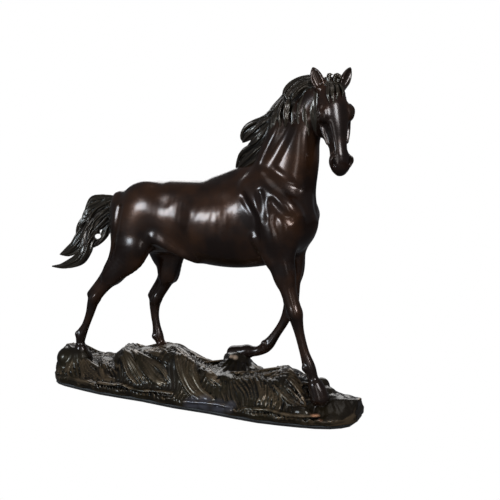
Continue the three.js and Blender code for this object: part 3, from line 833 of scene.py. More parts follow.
# Each lock's points, half width and half thickness.
MANE_LOCKS = (
    # Combed over the crest behind the ears.
    ([(80, 5, 206), (73, 6, 206), (66, 6, 202), (60, 6, 197), (57, 5, 191)], 2.2, 2.4),
    ([(80, 3, 207.5), (74, 3.5, 208), (67, 3.5, 206), (61.5, 3, 202), (58.5, 2, 197)], 2.0, 2.2),
    ([(79, 1, 207.5), (73, 1, 207.5), (67.5, 0, 205.5),
      (63.5, -1, 202.5), (61.5, -2, 199), (61.5, -3, 195)], 1.9, 2.2),
    ([(80, -1.5, 206), (74.5, -3, 205), (70, -4.5, 202),
      (67, -6, 199), (65.5, -7, 196), (67, -8, 193.5)], 1.8, 2.0),
    ([(81.5, -4, 204), (76.5, -6, 202.5), (73, -7.2, 200), (70.5, -8, 197), (69, -9, 193.5)], 1.7, 1.8),
    # Down the back of the neck, the near ones ending in points.
    ([(60, 6, 198), (56, 7, 193), (50, 7, 188), (44, 6, 183), (39, 6, 179)], 3.0, 3.0),
    ([(61.5, 1, 199), (58, 1, 194.5), (54.5, 1, 191),
      (51, 1, 187.5), (47.5, 1, 184.5), (43, 1, 182)], 2.2, 3.0),
    ([(63, -2, 196), (61, -4, 191.5), (58.5, -5, 187.5), (56, -5.5, 183.5), (52, -5.5, 179.5)], 2.2, 2.4),
    ([(66.5, -7, 194), (66, -9, 190), (65.5, -9.5, 186), (66, -10, 182), (65.5, -10, 177.5)], 1.8, 1.6),
    ([(63, -5, 194), (62, -8, 189), (61.5, -9, 184.5), (62, -9.5, 180), (62, -10, 174)], 1.9, 1.8),
    ([(60, -5, 190), (58, -7.5, 185), (57.5, -8.5, 180), (57, -9, 175), (55, -9.5, 170)], 1.9, 1.8),
    # The rolled clump that stands off the back of the neck.
    ([(53, 1.5, 186), (46, 2, 182.5), (40, 2, 180),
      (35.5, 1.5, 177.5), (33, 1, 174), (33, 0, 170.5)], 4.0, 4.2),
    ([(52, -2, 183), (47, -3, 180), (42.5, -3.5, 176.5), (37.5, -3, 173), (33, -2, 170)], 2.8, 2.6),
    ([(52.5, -5, 179), (48, -5.5, 173.5), (43, -5, 169.5), (37, -3.5, 167)], 2.8, 2.6),
    ([(52, 6, 184), (45, 6.5, 179), (39, 6, 174), (35, 4, 168)], 3.2, 3.0),
    # The lower clump, over the withers.
    ([(50, -4.5, 172), (45, -4, 168.5), (39, -2, 165.5), (34, -1, 163),
      (31, 0, 160), (29, 0, 156), (28, -1, 152.5)], 2.8, 3.2),
    ([(49, -6, 167), (44.5, -5.5, 163.5), (39.5, -4.5, 160),
      (34, -3, 156.5), (28.5, -1.5, 152.8)], 2.6, 2.4),
    ([(49, -7.5, 163.5), (45, -6.5, 159.5), (39.5, -5, 156.5),
      (34, -3, 154), (28.5, -1.5, 152.2)], 2.2, 2.0),
    ([(49, 6, 171), (43, 6.5, 165), (36, 5, 159.5), (30, 2.5, 153.5)], 3.0, 3.0),
)
SIDE_LIFT = -0.9  # from the neck's skin to the middle of the locks on its near side
# Locks combed flat over the near side of the neck behind the jaw, as x and z.
SIDE_LOCKS = (
    ((85.5, 197), (85, 190.5), (84, 185), (84.5, 180), (84.5, 175)),
    ((83.5, 198), (82, 191), (81, 185.5), (81.5, 180), (83, 175), (84, 171)),
    ((81.5, 199), (78.5, 192), (77, 186), (77.5, 180), (79, 174), (79, 170)),
    ((78.5, 200), (74.5, 192.5), (73, 185.5), (74.5, 178), (76.5, 172), (75.5, 166)),
    ((75, 200), (70.5, 194), (69, 187.5), (69, 181), (69.5, 175.5)),
)


def sculpt_mane(clay, body):
    clay.add(Tube(CREST), 2)
    for seed, (points, wide, thick) in enumerate(MANE_LOCKS):
        clay.add(lock(points, wide, thick, strands=5 if wide > 2.5 else 3, depth=0.2, seed=seed), 0.3)
    for seed, places in enumerate(SIDE_LOCKS):
        points = [on_side(body, x, z, -1, SIDE_LIFT) for x, z in places]
        clay.add(lock(points, 2.0, 1.2, strands=4, depth=0.08, seed=seed), 0.6)
    for i in range(9):
        x, z = np.interp(i, range(7), [78, 71, 64.5, 58, 52, 46, 40]), 200 - 5.6 * i
        fall = ((x, z), (x + 3.5, z - 7), (x + 5, z - 15), (x + 3 + i % 3, z - 23 - 3 * (i % 2)))
        points = [on_side(body, *place, 1, 0.6) for place in fall]
        clay.add(lock(points, 2.8, 1.7, strands=5, depth=0.18, seed=i), 0.3)


def sculpt_forelock(clay):
    root = [[0.5, -3.5, 3.5, 1.6], [0.5, 0, 4.2, 2.0], [0.5, 4, 3.5, 1.6]]
    clay.add(head_tube(root, across=Z), 1)
    tufts = (
        ([(1, -1.5, 4), (-3.5, -1.8, 4.6), (-5.8, -1.2, 5.2), (-5.2, 0.2, 6.4)], 1.3),
        ([(1, 1.5, 4), (-3, 1.4, 4.8), (-5.0, 2.4, 5.6), (-3.6, 4.0, 6.6), (-1.0, 4.6, 6.6)], 1.3),
        ([(0, 3, 4), (-2.6, 3.4, 4.4), (-3.6, 4.8, 4.6), (-1.8, 5.8, 4.8)], 1.1),
        ([(0, -2.5, 4.5), (4.5, -3.6, 6.8), (9, -4.6, 7.8), (14.5, -4.4, 7.6)], 1.2),
        ([(0, -0.5, 5), (5, -1.6, 7.6), (10, -2.4, 8.6), (16, -2.0, 8.2)], 1.3),
        ([(0, 1.5, 5), (4.5, 1.0, 7.8), (9, 0.4, 8.8), (13, -0.4, 8.6)], 1.2),
        ([(0, 3, 4.5), (4, 3.6, 7.0), (8, 4.0, 8.0), (11, 3.2, 8.2)], 1.1),
    )
    for seed, (points, wide) in enumerate(tufts):
        placed = [on_head(p) for p in points]
        clay.add(lock(placed, wide, 1.2, strands=4, depth=0.12, seed=seed, across=head_way(Z)), 0.35)


# Each lock's points, half width and half thickness.
TAIL_LOCKS = (
    # The web that squares off the top.
    ([(-60, 2, 132), (-69, -1, 131.5), (-78, -4, 131.8),
      (-84, -7, 131), (-86.5, -9, 126), (-89, -11, 120)], 3.4, 2.8),
    ([(-70, -3, 130), (-77, -6, 128), (-83, -9, 125), (-87, -11, 121), (-90, -12, 116)], 3.4, 2.8),
    # Outer locks, stepping down to the upper tip.
    ([(-75, -6, 127), (-82, -9, 122), (-87, -11.5, 117), (-91, -13, 111.5), (-93.5, -14.5, 105)], 3.4, 3.2),
    ([(-80, -8, 119), (-86, -11.5, 113), (-90.5, -14, 106.5),
      (-94.5, -15.5, 100), (-100, -16.5, 96), (-106, -17.5, 92.6)], 3.2, 3.0),
    ([(-84, -12, 110), (-87, -15, 104.5), (-91, -16.5, 99),
      (-97, -17.5, 95), (-104.5, -18, 92.6)], 3.8, 2.6),
    # The ridges from the dock that arch over and down to the lower curl.
    ([(-60, -1, 131), (-70, -4, 130.5), (-77, -7, 127), (-81, -10, 121.5),
      (-83, -13, 115), (-84.5, -15.5, 106)], 2.8, 3.6),
    ([(-81, -11, 117), (-83.5, -15, 110), (-83.5, -17, 101.5), (-85.5, -18, 95.5),
      (-90.5, -19, 90.5), (-97, -20, 87.4), (-104, -20, 85.6)], 3.0, 3.0),
    ([(-79, -10, 109), (-81, -15, 103), (-82, -17.5, 96), (-86, -19, 90),
      (-93, -20, 86.6), (-101, -20.5, 84.6), (-111, -20.5, 84)], 2.9, 3.4),
    # Fine ridges across the middle.
    ([(-62, -2, 129), (-70, -5, 125.5), (-76, -8, 120.5), (-80, -11, 114.5), (-82, -13, 107)], 2.6, 3.2),
    ([(-62, -2, 126.5), (-69, -4.5, 121.5), (-75, -7, 116),
      (-79.5, -10, 110.5), (-82, -12.5, 103)], 2.6, 3.0),
    # The web in front of the opening.
    ([(-62, 0, 124.5), (-68, -2, 120), (-72.4, -4.5, 113.5),
      (-74.4, -6.5, 107.6), (-78, -9.5, 102), (-83, -14, 97)], 2.8, 2.4),
)
TAIL_ROOT = [
    [-58, 0, 130, 4.2, 4.4],
    [-66, -1.5, 129.5, 4.4, 4.6],
    [-74, -4, 126.5, 3.4, 5],
    [-80, -7, 119, 2.6, 4],
]
# The opening through the tail, below its web.
TAIL_GAP = [[-73.5, -17, 106.8, 1.7, 2.3], [-78.5, -9, 106.2, 1.7, 2.3], [-85, 1, 105.4, 1.7, 2.3]]


def sculpt_tail(clay):
    clay.add(Tube(TAIL_ROOT), 1)
    for seed, (points, wide, thick) in enumerate(TAIL_LOCKS):
        clay.add(lock(points, wide, thick, strands=5, depth=0.17, turns=0.5, seed=seed), 0.35)
        behind = [(x - 1.5, y + 3.6, z - 0.5) for x, y, z in points[:-1]]
        clay.add(lock(behind, wide * 0.8, thick * 0.8, strands=5, seed=seed + 20), 0.5)
    clay.carve(Tube(TAIL_GAP, across=Z), 0.5)


# ---------------------------------------------------------------- base

# Places along the base and the land's height there.
LAND_CREST = [
    [-128, 8], [-124, 15], [-118, 20], [-112, 25], [-105, 24], [-97, 20], [-90, 15], [-85, 15.5], [-79, 19],
    [-74, 17], [-70, 14.5], [-66, 18], [-62, 28], [-56, 28.5], [-50, 26.5], [-41, 27], [-34, 28], [-25, 32],
    [-14, 31], [-3, 26], [6, 22.5], [15, 21.5], [30, 21], [44, 24], [49, 22.5], [55, 22.5], [60, 26],
    [66, 27.5], [72, 25], [82, 22], [92, 17], [104, 13.5], [116, 10],
]
RIM = 6.0  # height of the base's edge
UNDERSIDE = 1.75  # height of the bronze's lower face, which lies on the felt
NOTCH = 0.6  # half the depth of the notches in the base's edge
EDGE_LEAN = 0.16  # how far the edge leans in, for each millimetre below the rim
BASE_LENGTH = 226
BASE_WIDTH = 71


def half_width(x):
    """Half the base's width. The rear end is blunter than the front."""
    share = np.clip(np.abs(x) / (BASE_LENGTH / 2), 0, 0.995)
    rear = (1 - share**6) ** 0.25
    front = (1 - share**4.2) ** 0.385
    uneven = 0.98 + 0.02 * np.cos(x / 9)
    return BASE_WIDTH / 2 * np.where(x < 0, rear, front) * uneven


def ground(x, y):
    """Height of the land at each place."""
    x, y = np.asarray(x, float), np.asarray(y, float)
    # Its gullies run slantwise, and it falls away early at the front.
    crest = np.interp(x + 0.55 * y, [p[0] for p in LAND_CREST], [p[1] for p in LAND_CREST])
    fall = np.interp(x, (60, 85), (0.5, 0.85))
    edge = np.clip((1 - np.abs(y) / half_width(x)) / fall, 0, 1)
    shoulder = edge * edge * (3 - 2 * edge)
    # From the near shoulder it slopes gently down to the far side.
    crest = crest - 0.13 * np.maximum(y + 12, 0)
    # A smooth mound with hollow flanks carries the raised hoof.
    mound = 14 + 17 / (1 + (np.hypot(x - 24, (y - 8) / 1.6) / 11) ** 2.4)
    join = np.maximum(4 - np.abs(crest - mound), 0)
    crest = np.maximum(crest, mound) + join * join / 16
    height = RIM + (crest - RIM) * shoulder
    return height - 4.5 * np.exp(-((x - 91) ** 2 + (y + 15) ** 2) / 70)


def combed(x, y):
    """Ridges that swirl down the slopes, but not on the mound or the bare slab at the front."""
    flow = x + 0.4 * y + 5 * np.sin(y / 8 + x / 17) + 2.5 * np.sin(x / 8 - y / 6)
    flow = flow + 1.2 * np.sin(x / 3.3 + 2 * np.sin(y / 4.1)) * np.sin(y / 2.9 - x / 9)
    ridges = np.abs(np.sin(flow * math.pi / 3.4))
    mound = np.exp(-(((x - 27) / 11) ** 2)) * np.clip((y + 24) / 8, 0, 1)
    bare = mound + np.clip((x - 90) / 8, 0, 1)
    return 1.9 * (ridges - 0.65) * (1 - np.clip(bare, 0, 0.9))


class Land:
    """Everything under the ground's height and inside the base's outline."""

    low = np.array([-120.0, -40.0, 0.0])
    high = np.array([120.0, 40.0, 40.0])

    def distance(self, x, y, z, margin):
        at_x, at_y = np.meshgrid(x.astype(float), y.astype(float), indexing="ij")
        rough = 0.3 * np.sin(at_x / 1.3 + np.sin(at_y / 2.1)) * np.sin(at_y / 1.7 + at_x / 5)
        height = ground(at_x, at_y) + rough + combed(at_x, at_y)
        slope = np.hypot(*np.gradient(height, x, y))
        above = (z[None, None, :] - height[:, :, None]) / np.sqrt(1 + slope * slope)[:, :, None]
        outside = np.maximum(np.abs(at_y) - half_width(at_x), np.abs(at_x) - BASE_LENGTH / 2)
        # The edge is notched, and leans in towards its foot.
        notches = NOTCH + NOTCH * np.sin(at_x[:, :, None] / 2.7 + 3 * np.sin(z / 2.3) + at_y[:, :, None] / 5)
        wall = outside[:, :, None] + EDGE_LEAN * np.maximum(RIM - z, 0)[None, None, :] + notches
        below = (UNDERSIDE - z)[None, None, :]
        return np.maximum(np.maximum(above, wall), below).astype(np.float32)


def on_ground(points, lift=0.0):
    return [[x, y, float(ground(x, y)) + lift] for x, y in points]


GRASS_LIFT = 0.5  # from the ground to the middle of a blade


def sheaf(clay, first, last, count, size, seed):
    """Blades of grass side by side, from one guide line on the ground to another."""
    first, last = np.array(first, float), np.array(last, float)
    for i in range(count):
        share = i / max(count - 1, 1)
        line = first + (last - first) * share
        wave = 0.5 * np.sin(2.4 * np.arange(len(line)) + i + seed)
        line = line + wave[:, None] * unit(last[0] - first[0] + 1e-3)
        taper = np.interp(np.linspace(0, 1, len(line)), (0, 0.3, 0.75, 1), (0.6, 1, 0.9, 0.35))
        rise = GRASS_LIFT + 0.4 * math.sin(2.1 * i + seed)
        stations = [[*p, size * t, size * t] for p, t in zip(on_ground(line, rise), taper)]
        clay.add(Tube(stations, across=Z, step=1.4), 0.4)


# Two guide lines, how many blades lie between them, and their size.
GRASS = (
    # Round the knob at the rear.
    ([(-104, -9), (-95, -17), (-90, -22), (-93, -27)],
     [(-106, -14), (-101, -19), (-96, -23), (-97, -27)], 4, 1.3),
    ([(-108, -10), (-109, -17), (-106, -23), (-99, -28)],
     [(-105, -12), (-104, -18), (-102, -23), (-98, -26)], 3, 1.3),
    ([(-91, -18), (-84, -24), (-75, -31), (-66, -34)],
     [(-95, -26), (-88, -30), (-80, -33), (-72, -34.5)], 4, 1.1),
    # A leaf, and small knots beside it.
    ([(-86, -17.5), (-78, -19), (-67.5, -23.5), (-59, -29)],
     [(-85, -21), (-79, -26), (-70, -30.5), (-60, -32)], 5, 1.2),
    ([(-66, -20), (-59, -26), (-52, -27.5), (-46, -29.5)],
     [(-68, -24), (-60, -29), (-53, -31), (-44, -32)], 4, 0.9),
    # The boulder and the blades that fall from it.
    ([(-50, -14), (-43, -20), (-32, -25), (-24, -28)],
     [(-57, -16), (-49, -22.5), (-40, -27), (-32, -30)], 5, 1.3),
    ([(-48, -8), (-30, -19), (-16, -24), (-6, -27.5)],
     [(-46, -16), (-29, -24), (-18, -28), (-9, -30.5)], 6, 1.3),
    ([(-34, 8), (-18, -4), (-8, -13), (1, -20)],
     [(-29, 12), (-14, 0), (-4, -7), (5, -13)], 5, 1.3),
    ([(-36, 4), (-28, -8), (-18, -16), (-8, -22)],
     [(-44, 2), (-34, -12), (-22, -19), (-11, -24)], 5, 1.1),
    # The long swirl between the hooves.
    ([(-9, -15), (-5, -21), (-1, -26), (10, -30), (22, -32)],
     [(-1, -6), (6, -17), (10.5, -23), (17, -27), (28, -29.5)], 7, 1.25),
    ([(7, -3), (20, -18), (30, -22.5)],
     [(9, -15), (19, -22), (29, -25.5)], 4, 1.0),
    # Tufts and a fan before the front hooves.
    ([(36, 12), (49, -4), (61, -19)],
     [(48, 8), (61, -8), (68, -19)], 5, 1.2),
    ([(62, 2), (71, -8), (80, -13)],
     [(64, -20), (76, -23), (88, -22)], 8, 1.25),
    ([(54, -21), (58, -26), (57, -30)],
     [(69, -22), (71, -26), (71, -29)], 7, 0.95),
    ([(60, 12), (66, 2), (70, -6)],
     [(76, 12), (78, 2), (80, -6)], 5, 1.2),
)
# Rounded rocks of [x, y, z] and half sizes.
ROCKS = (
    ([-101, -17, 17], (8, 8, 8)),
    ([-91.5, -14, 17], (9, 8, 9.5)),
    ([-73, -8, 14], (5, 8, 5)),
    ([-53, -12, 21], (8, 9, 7)),
    ([-44, 2, 22], (8, 9, 6)),
    ([-36, 13, 22], (8, 8, 6.5)),
    ([-20, 2, 25], (9, 10, 6)),
    ([66, 2, 21], (7, 9, 5)),
    ([85, 7, 17], (5, 5, 5)),
    ([91, 2, 14], (5, 5, 4)),
    ([84, -25, 9], (6, 3.2, 2.6)),
    # The one that the raised hoof rests on, at the top of the mound.
    ([23.5, 10, 27], (9, 7.5, 4)),
)
LEDGES = (
    [[-61, -33, 8], [-49, -33.5, 8.5], [-41, -32.5, 9.5], [-33, -33, 8],
     [-24, -33, 7.8], [-16, -32, 8.6], [-2, -31.5, 9]],
    [[-98, -27, 6], [-84, -31, 7], [-72, -33, 7.6], [-62, -33.5, 6.2]],
    [[8, -33.5, 5.8], [18, -33.2, 6.6], [30, -32.6, 7.4], [41, -32.8, 7]],
    [[50, -31.5, 7.5], [60, -31, 8.2], [66, -31, 8.8], [71, -30.5, 8],
     [79, -29.5, 7.2], [87, -27.5, 7.4], [95, -24, 8]],
)


def sculpt_base(clay):
    clay.add(Land(), 0.1)
    for centre, sizes in ROCKS:
        clay.add(Ball(centre, sizes), 2.5)
    for ledge in LEDGES:
        clay.add(Tube([[*p, 2.0, 0.9] for p in ledge]), 0.8)
    for seed, (first, last, count, size) in enumerate(GRASS):
        sheaf(clay, first, last, count, size, seed)
        far_first = [(x - 6, -y) for x, y in first]
        far_last = [(x - 6, -y) for x, y in last]
        sheaf(clay, far_first, far_last, count, size, seed + 7)
    # Fine grooves run down the mound.
    for i in range(9):
        angle = math.radians(-160 + 17 * i)
        way = np.array([math.cos(angle), 1.5 * math.sin(angle)])
        line = [np.array([26, 10]) + way * reach for reach in (7, 13, 20 + i % 3)]
        clay.swell(Tube([[*p, 0.2] for p in on_ground(line)]), -0.45, 1.3)
    clay.keep(([0, 0, UNDERSIDE], [0, 0, -1]))


# ---------------------------------------------------------------- materials

def node_material(name):
    material = bpy.data.materials.new(name)
    material.use_nodes = True
    nodes, links = material.node_tree.nodes, material.node_tree.links
    return material, nodes, links, nodes["Principled BSDF"]


def put(node, values):
    """Sets the named inputs of a shader node."""
    for name, value in values.items():
        node.inputs[name].default_value = value


def attribute(nodes, name):
    node = nodes.new("ShaderNodeAttribute")
    node.attribute_name = name
    return node.outputs["Fac"]


def colour_ramp(nodes, links, value, *stops):
    """A fade between two stops, each a place and a colour."""
    node = nodes.new("ShaderNodeValToRGB")
    for element, (place, colour) in zip(node.color_ramp.elements, stops):
        element.position = place
        element.color = (*colour, 1)
    links.new(value, node.inputs["Fac"])
    return node.outputs["Color"]


def mottle(nodes, links, scale, detail=4):
    """Noise fixed to the piece. A higher scale is finer."""
    place = nodes.new("ShaderNodeTexCoord")
    noise = nodes.new("ShaderNodeTexNoise")
    put(noise, {"Scale": scale, "Detail": detail})
    links.new(place.outputs["Object"], noise.inputs["Vector"])
    return noise.outputs["Fac"]


def mixed(nodes, links, share, first, second):
    node = nodes.new("ShaderNodeMix")
    node.data_type = "RGBA"
    links.new(share, node.inputs["Factor"])
    for socket, colour in ((node.inputs["A"], first), (node.inputs["B"], second)):
        if isinstance(colour, tuple):
            socket.default_value = (*colour, 1)
        else:
            links.new(colour, socket)
    return node.outputs["Result"]


BLACK = (0, 0, 0)
WHITE = (1, 1, 1)


def bronze(name, ridge, skin, cloud, sunk, rough, coat=0.8, marks=()):
    """Patinated bronze: rubbed on its ridges, clouded, darkened in its hollows by painted shade, bare metal
    at its copper marks and a painted glint at its grey one.
    """
    material, nodes, links, shader = node_material(name)
    put(shader, {"Metallic": 0.5, "Roughness": rough, "Coat Weight": coat, "Coat Roughness": 0.17})
    clouds = colour_ramp(nodes, links, mottle(nodes, links, 45), (0.42, BLACK), (0.66, WHITE))
    relief = attribute(nodes, "relief")
    # Painted shade: the sunk colour darkens the hollows that relief finds, standing in for the shade that
    # falls in them.
    hollow = colour_ramp(nodes, links, relief, (0.53, BLACK), (0.72, WHITE))
    raised = colour_ramp(nodes, links, relief, (0.24, WHITE), (0.42, BLACK))
    colour = mixed(nodes, links, clouds, skin, cloud)
    colour = mixed(nodes, links, hollow, colour, sunk)
    colour = mixed(nodes, links, raised, colour, ridge)
    for key, metal in marks:
        colour = mixed(nodes, links, attribute(nodes, key), colour, metal)
    links.new(colour, shader.inputs["Base Color"])
    bump = nodes.new("ShaderNodeBump")
    put(bump, {"Strength": 0.12, "Distance": 0.0006})
    links.new(mottle(nodes, links, 420, detail=3), bump.inputs["Height"])
    links.new(bump.outputs["Normal"], shader.inputs["Normal"])
    return material


COPPER = (0.9, 0.42, 0.22)
PALE_COPPER = (1.0, 0.72, 0.52)
# A grey painted on as a glint along the base's near edge.
GLINT_GREY = (0.16, 0.15, 0.17)


def skin_bronze():
    return bronze(
        "skin_patina",
        ridge=(0.07, 0.042, 0.03),
        skin=(0.03, 0.0145, 0.0092),
        cloud=(0.1, 0.04, 0.017),
        # sunk is painted shade for the hollows
        sunk=(0.016, 0.008, 0.005),
        rough=0.27,
    )


def hair_bronze():
    return bronze(
        "hair_patina",
        ridge=(0.08, 0.06, 0.04),
        skin=(0.022, 0.0155, 0.01),
        cloud=(0.042, 0.032, 0.016),
        # sunk is painted shade for the hollows
        sunk=(0.007, 0.005, 0.003),
        rough=0.24,
    )


def ground_bronze():
    return bronze(
        "ground_patina",
        ridge=(0.2, 0.135, 0.075),
        skin=(0.027, 0.018, 0.009),
        cloud=(0.05, 0.036, 0.015),
        # sunk is painted shade for the hollows
        sunk=(0.003, 0.002, 0.0012),
        rough=0.3,
        coat=0.5,
        # The grey mark is a painted glint; the copper and pale marks are worn bare metal.
        marks=(("painted_glint", GLINT_GREY), ("copper", COPPER), ("pale", PALE_COPPER)),
    )


def steel():
    material, nodes, links, shader = node_material("turned_steel")
    put(shader, {"Metallic": 1, "Base Color": (0.45, 0.45, 0.46, 1)})
    spread = nodes.new("ShaderNodeMapRange")
    put(spread, {"To Min": 0.25, "To Max": 0.45})
    links.new(mottle(nodes, links, 600), spread.inputs["Value"])
    links.new(spread.outputs["Result"], shader.inputs["Roughness"])
    return material


def felt():
    material, nodes, links, shader = node_material("black_felt")
    put(shader, {"Roughness": 1, "Sheen Weight": 0.4})
    fuzz = mottle(nodes, links, 900, detail=8)
    colour = colour_ramp(nodes, links, fuzz, (0.3, (0.008, 0.008, 0.008)), (0.7, (0.03, 0.028, 0.027)))
    links.new(colour, shader.inputs["Base Color"])
    return material


SKIN = skin_bronze()
HAIR = hair_bronze()
GROUND = ground_bronze()
STEEL = steel()
FELT = felt()


# ---------------------------------------------------------------- pieces

JOINTS = {
    "neck": ([56, 0, 148], [0.35, 0, 0.94]),
    "right_hindleg": ([-52, -13, 93], [0.35, 0, 0.94]),
    "left_hindleg": ([-33.5, 13, 91], [-0.1, 0, 1]),
    "right_foreleg": ([64.5, -12, 98], [-0.15, 0, 1]),
    "left_foreleg": ([62.4, 12, 99], [0, 0, 1]),
}
LAP = 0.5  # how far each casting reaches under the next, so that no seam shows
THIGH_REACH = 34  # how far ahead of a leg's middle, and behind it, its joint cuts the trunk
# Voxels, in millimetres. The finer the detail, the smaller they are.
HEAD_VOXEL = 0.36
NECK_VOXEL = 0.5
TRUNK_VOXEL = 0.6
LEG_VOXEL = 0.45
MANE_VOXEL = 0.42
FORELOCK_VOXEL = 0.26
TAIL_VOXEL = 0.4
BASE_VOXEL = 0.78
COARSE_VOXEL = 1.0  # for the neck that the mane is only laid on
# The trunk ends, and the tail begins, either side of this joint on the dock.
DOCK_END = ([-69.5, -2, 129], [-0.95, -0.1, -0.15])
TAIL_START = ([-66, -1.5, 129], [0.95, 0.1, 0.15])


def up(joint):
    """The plane of a joint, facing up, for what is below it."""
    return JOINTS[joint]


def down(joint):
    """The plane of a joint, facing down, for what is above it."""
    point, normal = JOINTS[joint]
    return point, [-n for n in normal]


# The head ends behind the poll and under the throat.
POLL_CUT = (on_head([7.0, 0, -9.0]), head_way([-0.55, 0, -1.0]))
THROAT_CUT = (on_head([20, 0, -18.5]), head_way([0.15, -0.35, -1.0]))


def sculpted(low, high, voxel, *sculptors):
    """Clay that has been sculpted, and a twin of it that stays whole while it is cut."""
    clay = Clay(low, high, voxel)
    for sculpt in sculptors:
        sculpt(clay)
    return clay, clay.twin()


def build_head():
    clay, whole = sculpted((64, -42, 144), (114, 16, 215), HEAD_VOXEL, sculpt_body, sculpt_head)
    clay.keep(POLL_CUT, THROAT_CUT, lap=LAP)
    cast("head_skin", clay, SKIN, ["head"], whole)


def build_neck():
    clay, whole = sculpted((36, -22, 134), (100, 20, 210), NECK_VOXEL, sculpt_body, sculpt_head)
    clay.keep(down("neck"), lap=LAP)
    clay.leave(POLL_CUT, THROAT_CUT, lap=LAP)
    cast("neck_skin", clay, SKIN, ["neck"], whole)


def build_trunk():
    clay, whole = sculpted((-74, -27, 80), (88, 27, 160), TRUNK_VOXEL, sculpt_body)
    clay.keep(up("neck"), DOCK_END, lap=LAP)
    # Below a leg's joint the trunk stops, on that leg's side and near it, but the barrel goes on.
    x, y, z = clay.axes
    barrel = Tube(BARREL, step=4).distance(x, y, z, 4)
    for name, stations in LEGS.items():
        middle = np.array(stations)[1:5, :3].mean(0)
        near = (np.abs(x - middle[0]) < THIGH_REACH)[:, None] & (y * middle[1] > 0)[None, :]
        below = np.where(near[:, :, None], clay.in_front([down(name)], LAP), -FAR)
        clay.field = np.maximum(clay.field, np.minimum(below, barrel).astype(np.float32))
    cast("torso_skin", clay, SKIN, ["torso"], whole)


def build_leg(name):
    """A leg below its joint, from clay that stops just short of the horse's other side."""
    stations = LEGS[name]
    points = np.array(stations)[1:, :3]
    low = points.min(0) - (16, 11, 12)
    high = points.max(0) + (17, 11, 4)
    if stations[0][1] < 0:
        high[1] = min(high[1], 1.0)
    else:
        low[1] = max(low[1], -1.0)
    high[2] = min(high[2], JOINTS[name][0][2] + 8)
    clay, whole = sculpted(low, high, LEG_VOXEL, sculpt_body)
    clay.keep(up(name), lap=LAP)
    cast(f"{name}_skin", clay, SKIN, [name], whole)


def build_hair():
    body, _ = sculpted((28, -26, 148), (96, 26, 212), COARSE_VOXEL, sculpt_body, sculpt_head)
    mane = Clay((20, -16, 144), (94, 22, 213), MANE_VOXEL)
    sculpt_mane(mane, body)
    cast("mane_locks", mane, HAIR, ["mane"])
    forelock = Clay((82, -20, 184), (106, 8, 212), FORELOCK_VOXEL)
    sculpt_forelock(forelock)
    cast("forelock_tufts", forelock, HAIR, ["forelock"])
    tail = Clay((-120, -28, 76), (-55, 10, 140), TAIL_VOXEL)
    sculpt_tail(tail)
    tail.keep(TAIL_START)
    cast("tail_locks", tail, HAIR, ["tail"])


# Spots along the near lower edge of the base painted grey: a painted glint, standing in for light reflected
# there.
PAINTED_GLINT_SPOTS = [[14, -34, 4, 7], [22, -33, 6, 7], [32, -33, 5, 7], [40, -32, 7, 5]]
COPPER_WEAR = [[93, -25.5, 9, 3.2], [96.5, -24.5, 7, 2.2]]
PALE_WEAR = [[26.4, 1.6, 29.2, 2.3], [23.8, 1.5, 28.8, 2.0]]


def build_base():
    clay = Clay((-118, -39, 0), (118, 39, 42), BASE_VOXEL)
    sculpt_base(clay)
    marks = {"painted_glint": PAINTED_GLINT_SPOTS, "copper": COPPER_WEAR, "pale": PALE_WEAR}
    cast("base_ground", clay, GROUND, ["base"], marks=marks)


def dress(node, material):
    slots = frame["nodes"][node].data.materials
    slots.clear()
    slots.append(material)


def finish_hardware():
    """The hardware and the felt keep their CAD shape and get their materials."""
    for name in frame["nodes"]:
        if name.endswith(("_stud", "_washer", "_nut", "_dowel")):
            dress(name, STEEL)
    dress("felt_pad", FELT)


build_head()
build_neck()
build_trunk()
for leg_name in LEGS:
    build_leg(leg_name)
build_hair()
build_base()
finish_hardware()


# ---------------------------------------------------------------- stage

def area(name, toward, distance, size, radiance, colour=(1, 1, 1)):
    """A softbox that lies some way off in a direction from the statuette's middle."""
    middle = Vector((0, 0, 0.11))
    place = middle + Vector(toward).normalized() * distance
    light = bpy.data.lights.new(name, "AREA")
    light.shape = "RECTANGLE"
    light.size, light.size_y = size
    light.energy = radiance * math.pi * size[0] * size[1]
    light.color = colour
    lamp = bpy.data.objects.new(name, light)
    bpy.context.collection.objects.link(lamp)
    lamp.location = place
    lamp.rotation_euler = (middle - place).to_track_quat("-Z", "Y").to_euler()


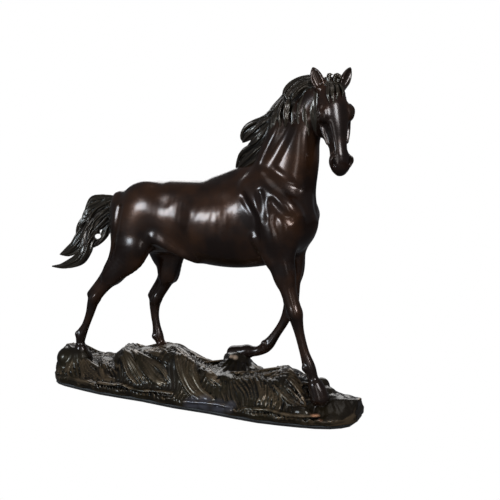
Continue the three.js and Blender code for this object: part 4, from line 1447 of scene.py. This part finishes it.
def seen_white(nodes, links, other, output):
    """Plain white where the camera sees it directly, and another shader for everything else."""
    white = nodes.new("ShaderNodeEmission")
    path = nodes.new("ShaderNodeLightPath")
    mix = nodes.new("ShaderNodeMixShader")
    links.new(path.outputs["Is Camera Ray"], mix.inputs["Fac"])
    links.new(other, mix.inputs[1])
    links.new(white.outputs["Emission"], mix.inputs[2])
    links.new(mix.outputs["Shader"], output.inputs["Surface"])


def floor():
    bpy.ops.mesh.primitive_plane_add(size=6)
    plane = bpy.context.object
    plane.name = "floor"
    material, nodes, links, shader = node_material("floor")
    put(shader, {"Base Color": (0.1, 0.1, 0.105, 1), "Roughness": 0.8})
    seen_white(nodes, links, shader.outputs["BSDF"], nodes["Material Output"])
    plane.data.materials.append(material)


def world():
    surroundings = bpy.data.worlds.new("world")
    bpy.context.scene.world = surroundings
    surroundings.use_nodes = True
    nodes, links = surroundings.node_tree.nodes, surroundings.node_tree.links
    room = nodes["Background"]
    put(room, {"Color": (0.9, 0.92, 1, 1), "Strength": 0.09})
    seen_white(nodes, links, room.outputs["Background"], nodes["World Output"])


def lights():
    area("key", (-0.38, -0.8, 0.17), 0.9, (0.2, 0.2), 15.5, (0.76, 0.89, 1))
    area("fill", (0.28, -0.9, 0.1), 0.9, (0.1, 0.4), 2.2)
    area("front", (0.66, -0.61, 0.45), 0.9, (0.18, 0.3), 13, (0.9, 0.95, 1))
    area("back", (-0.35, 0.75, 0.4), 0.9, (0.9, 0.4), 1.8)
    area("top", (0.1, -0.1, 1), 0.8, (0.4, 0.3), 0.7)


def camera():
    """A camera to the horse's right and a little ahead of it."""
    azimuth = math.radians(30)
    elevation = math.radians(5.3)
    distance = 0.486
    back = Vector((
        math.sin(azimuth) * math.cos(elevation),
        -math.cos(azimuth) * math.cos(elevation),
        math.sin(elevation),
    ))
    aim = Vector((0, 0, 0.1))
    lens = bpy.data.cameras.new("camera")
    lens.lens = 52.2
    lens.shift_x, lens.shift_y = 0.101, -0.002
    eye_point = bpy.data.objects.new("camera", lens)
    bpy.context.collection.objects.link(eye_point)
    eye_point.location = aim + back * distance
    eye_point.rotation_euler = (-back).to_track_quat("-Z", "Y").to_euler()
    bpy.context.scene.camera = eye_point


floor()
world()
lights()
camera()
bpy.context.scene.view_settings.view_transform = "Standard"
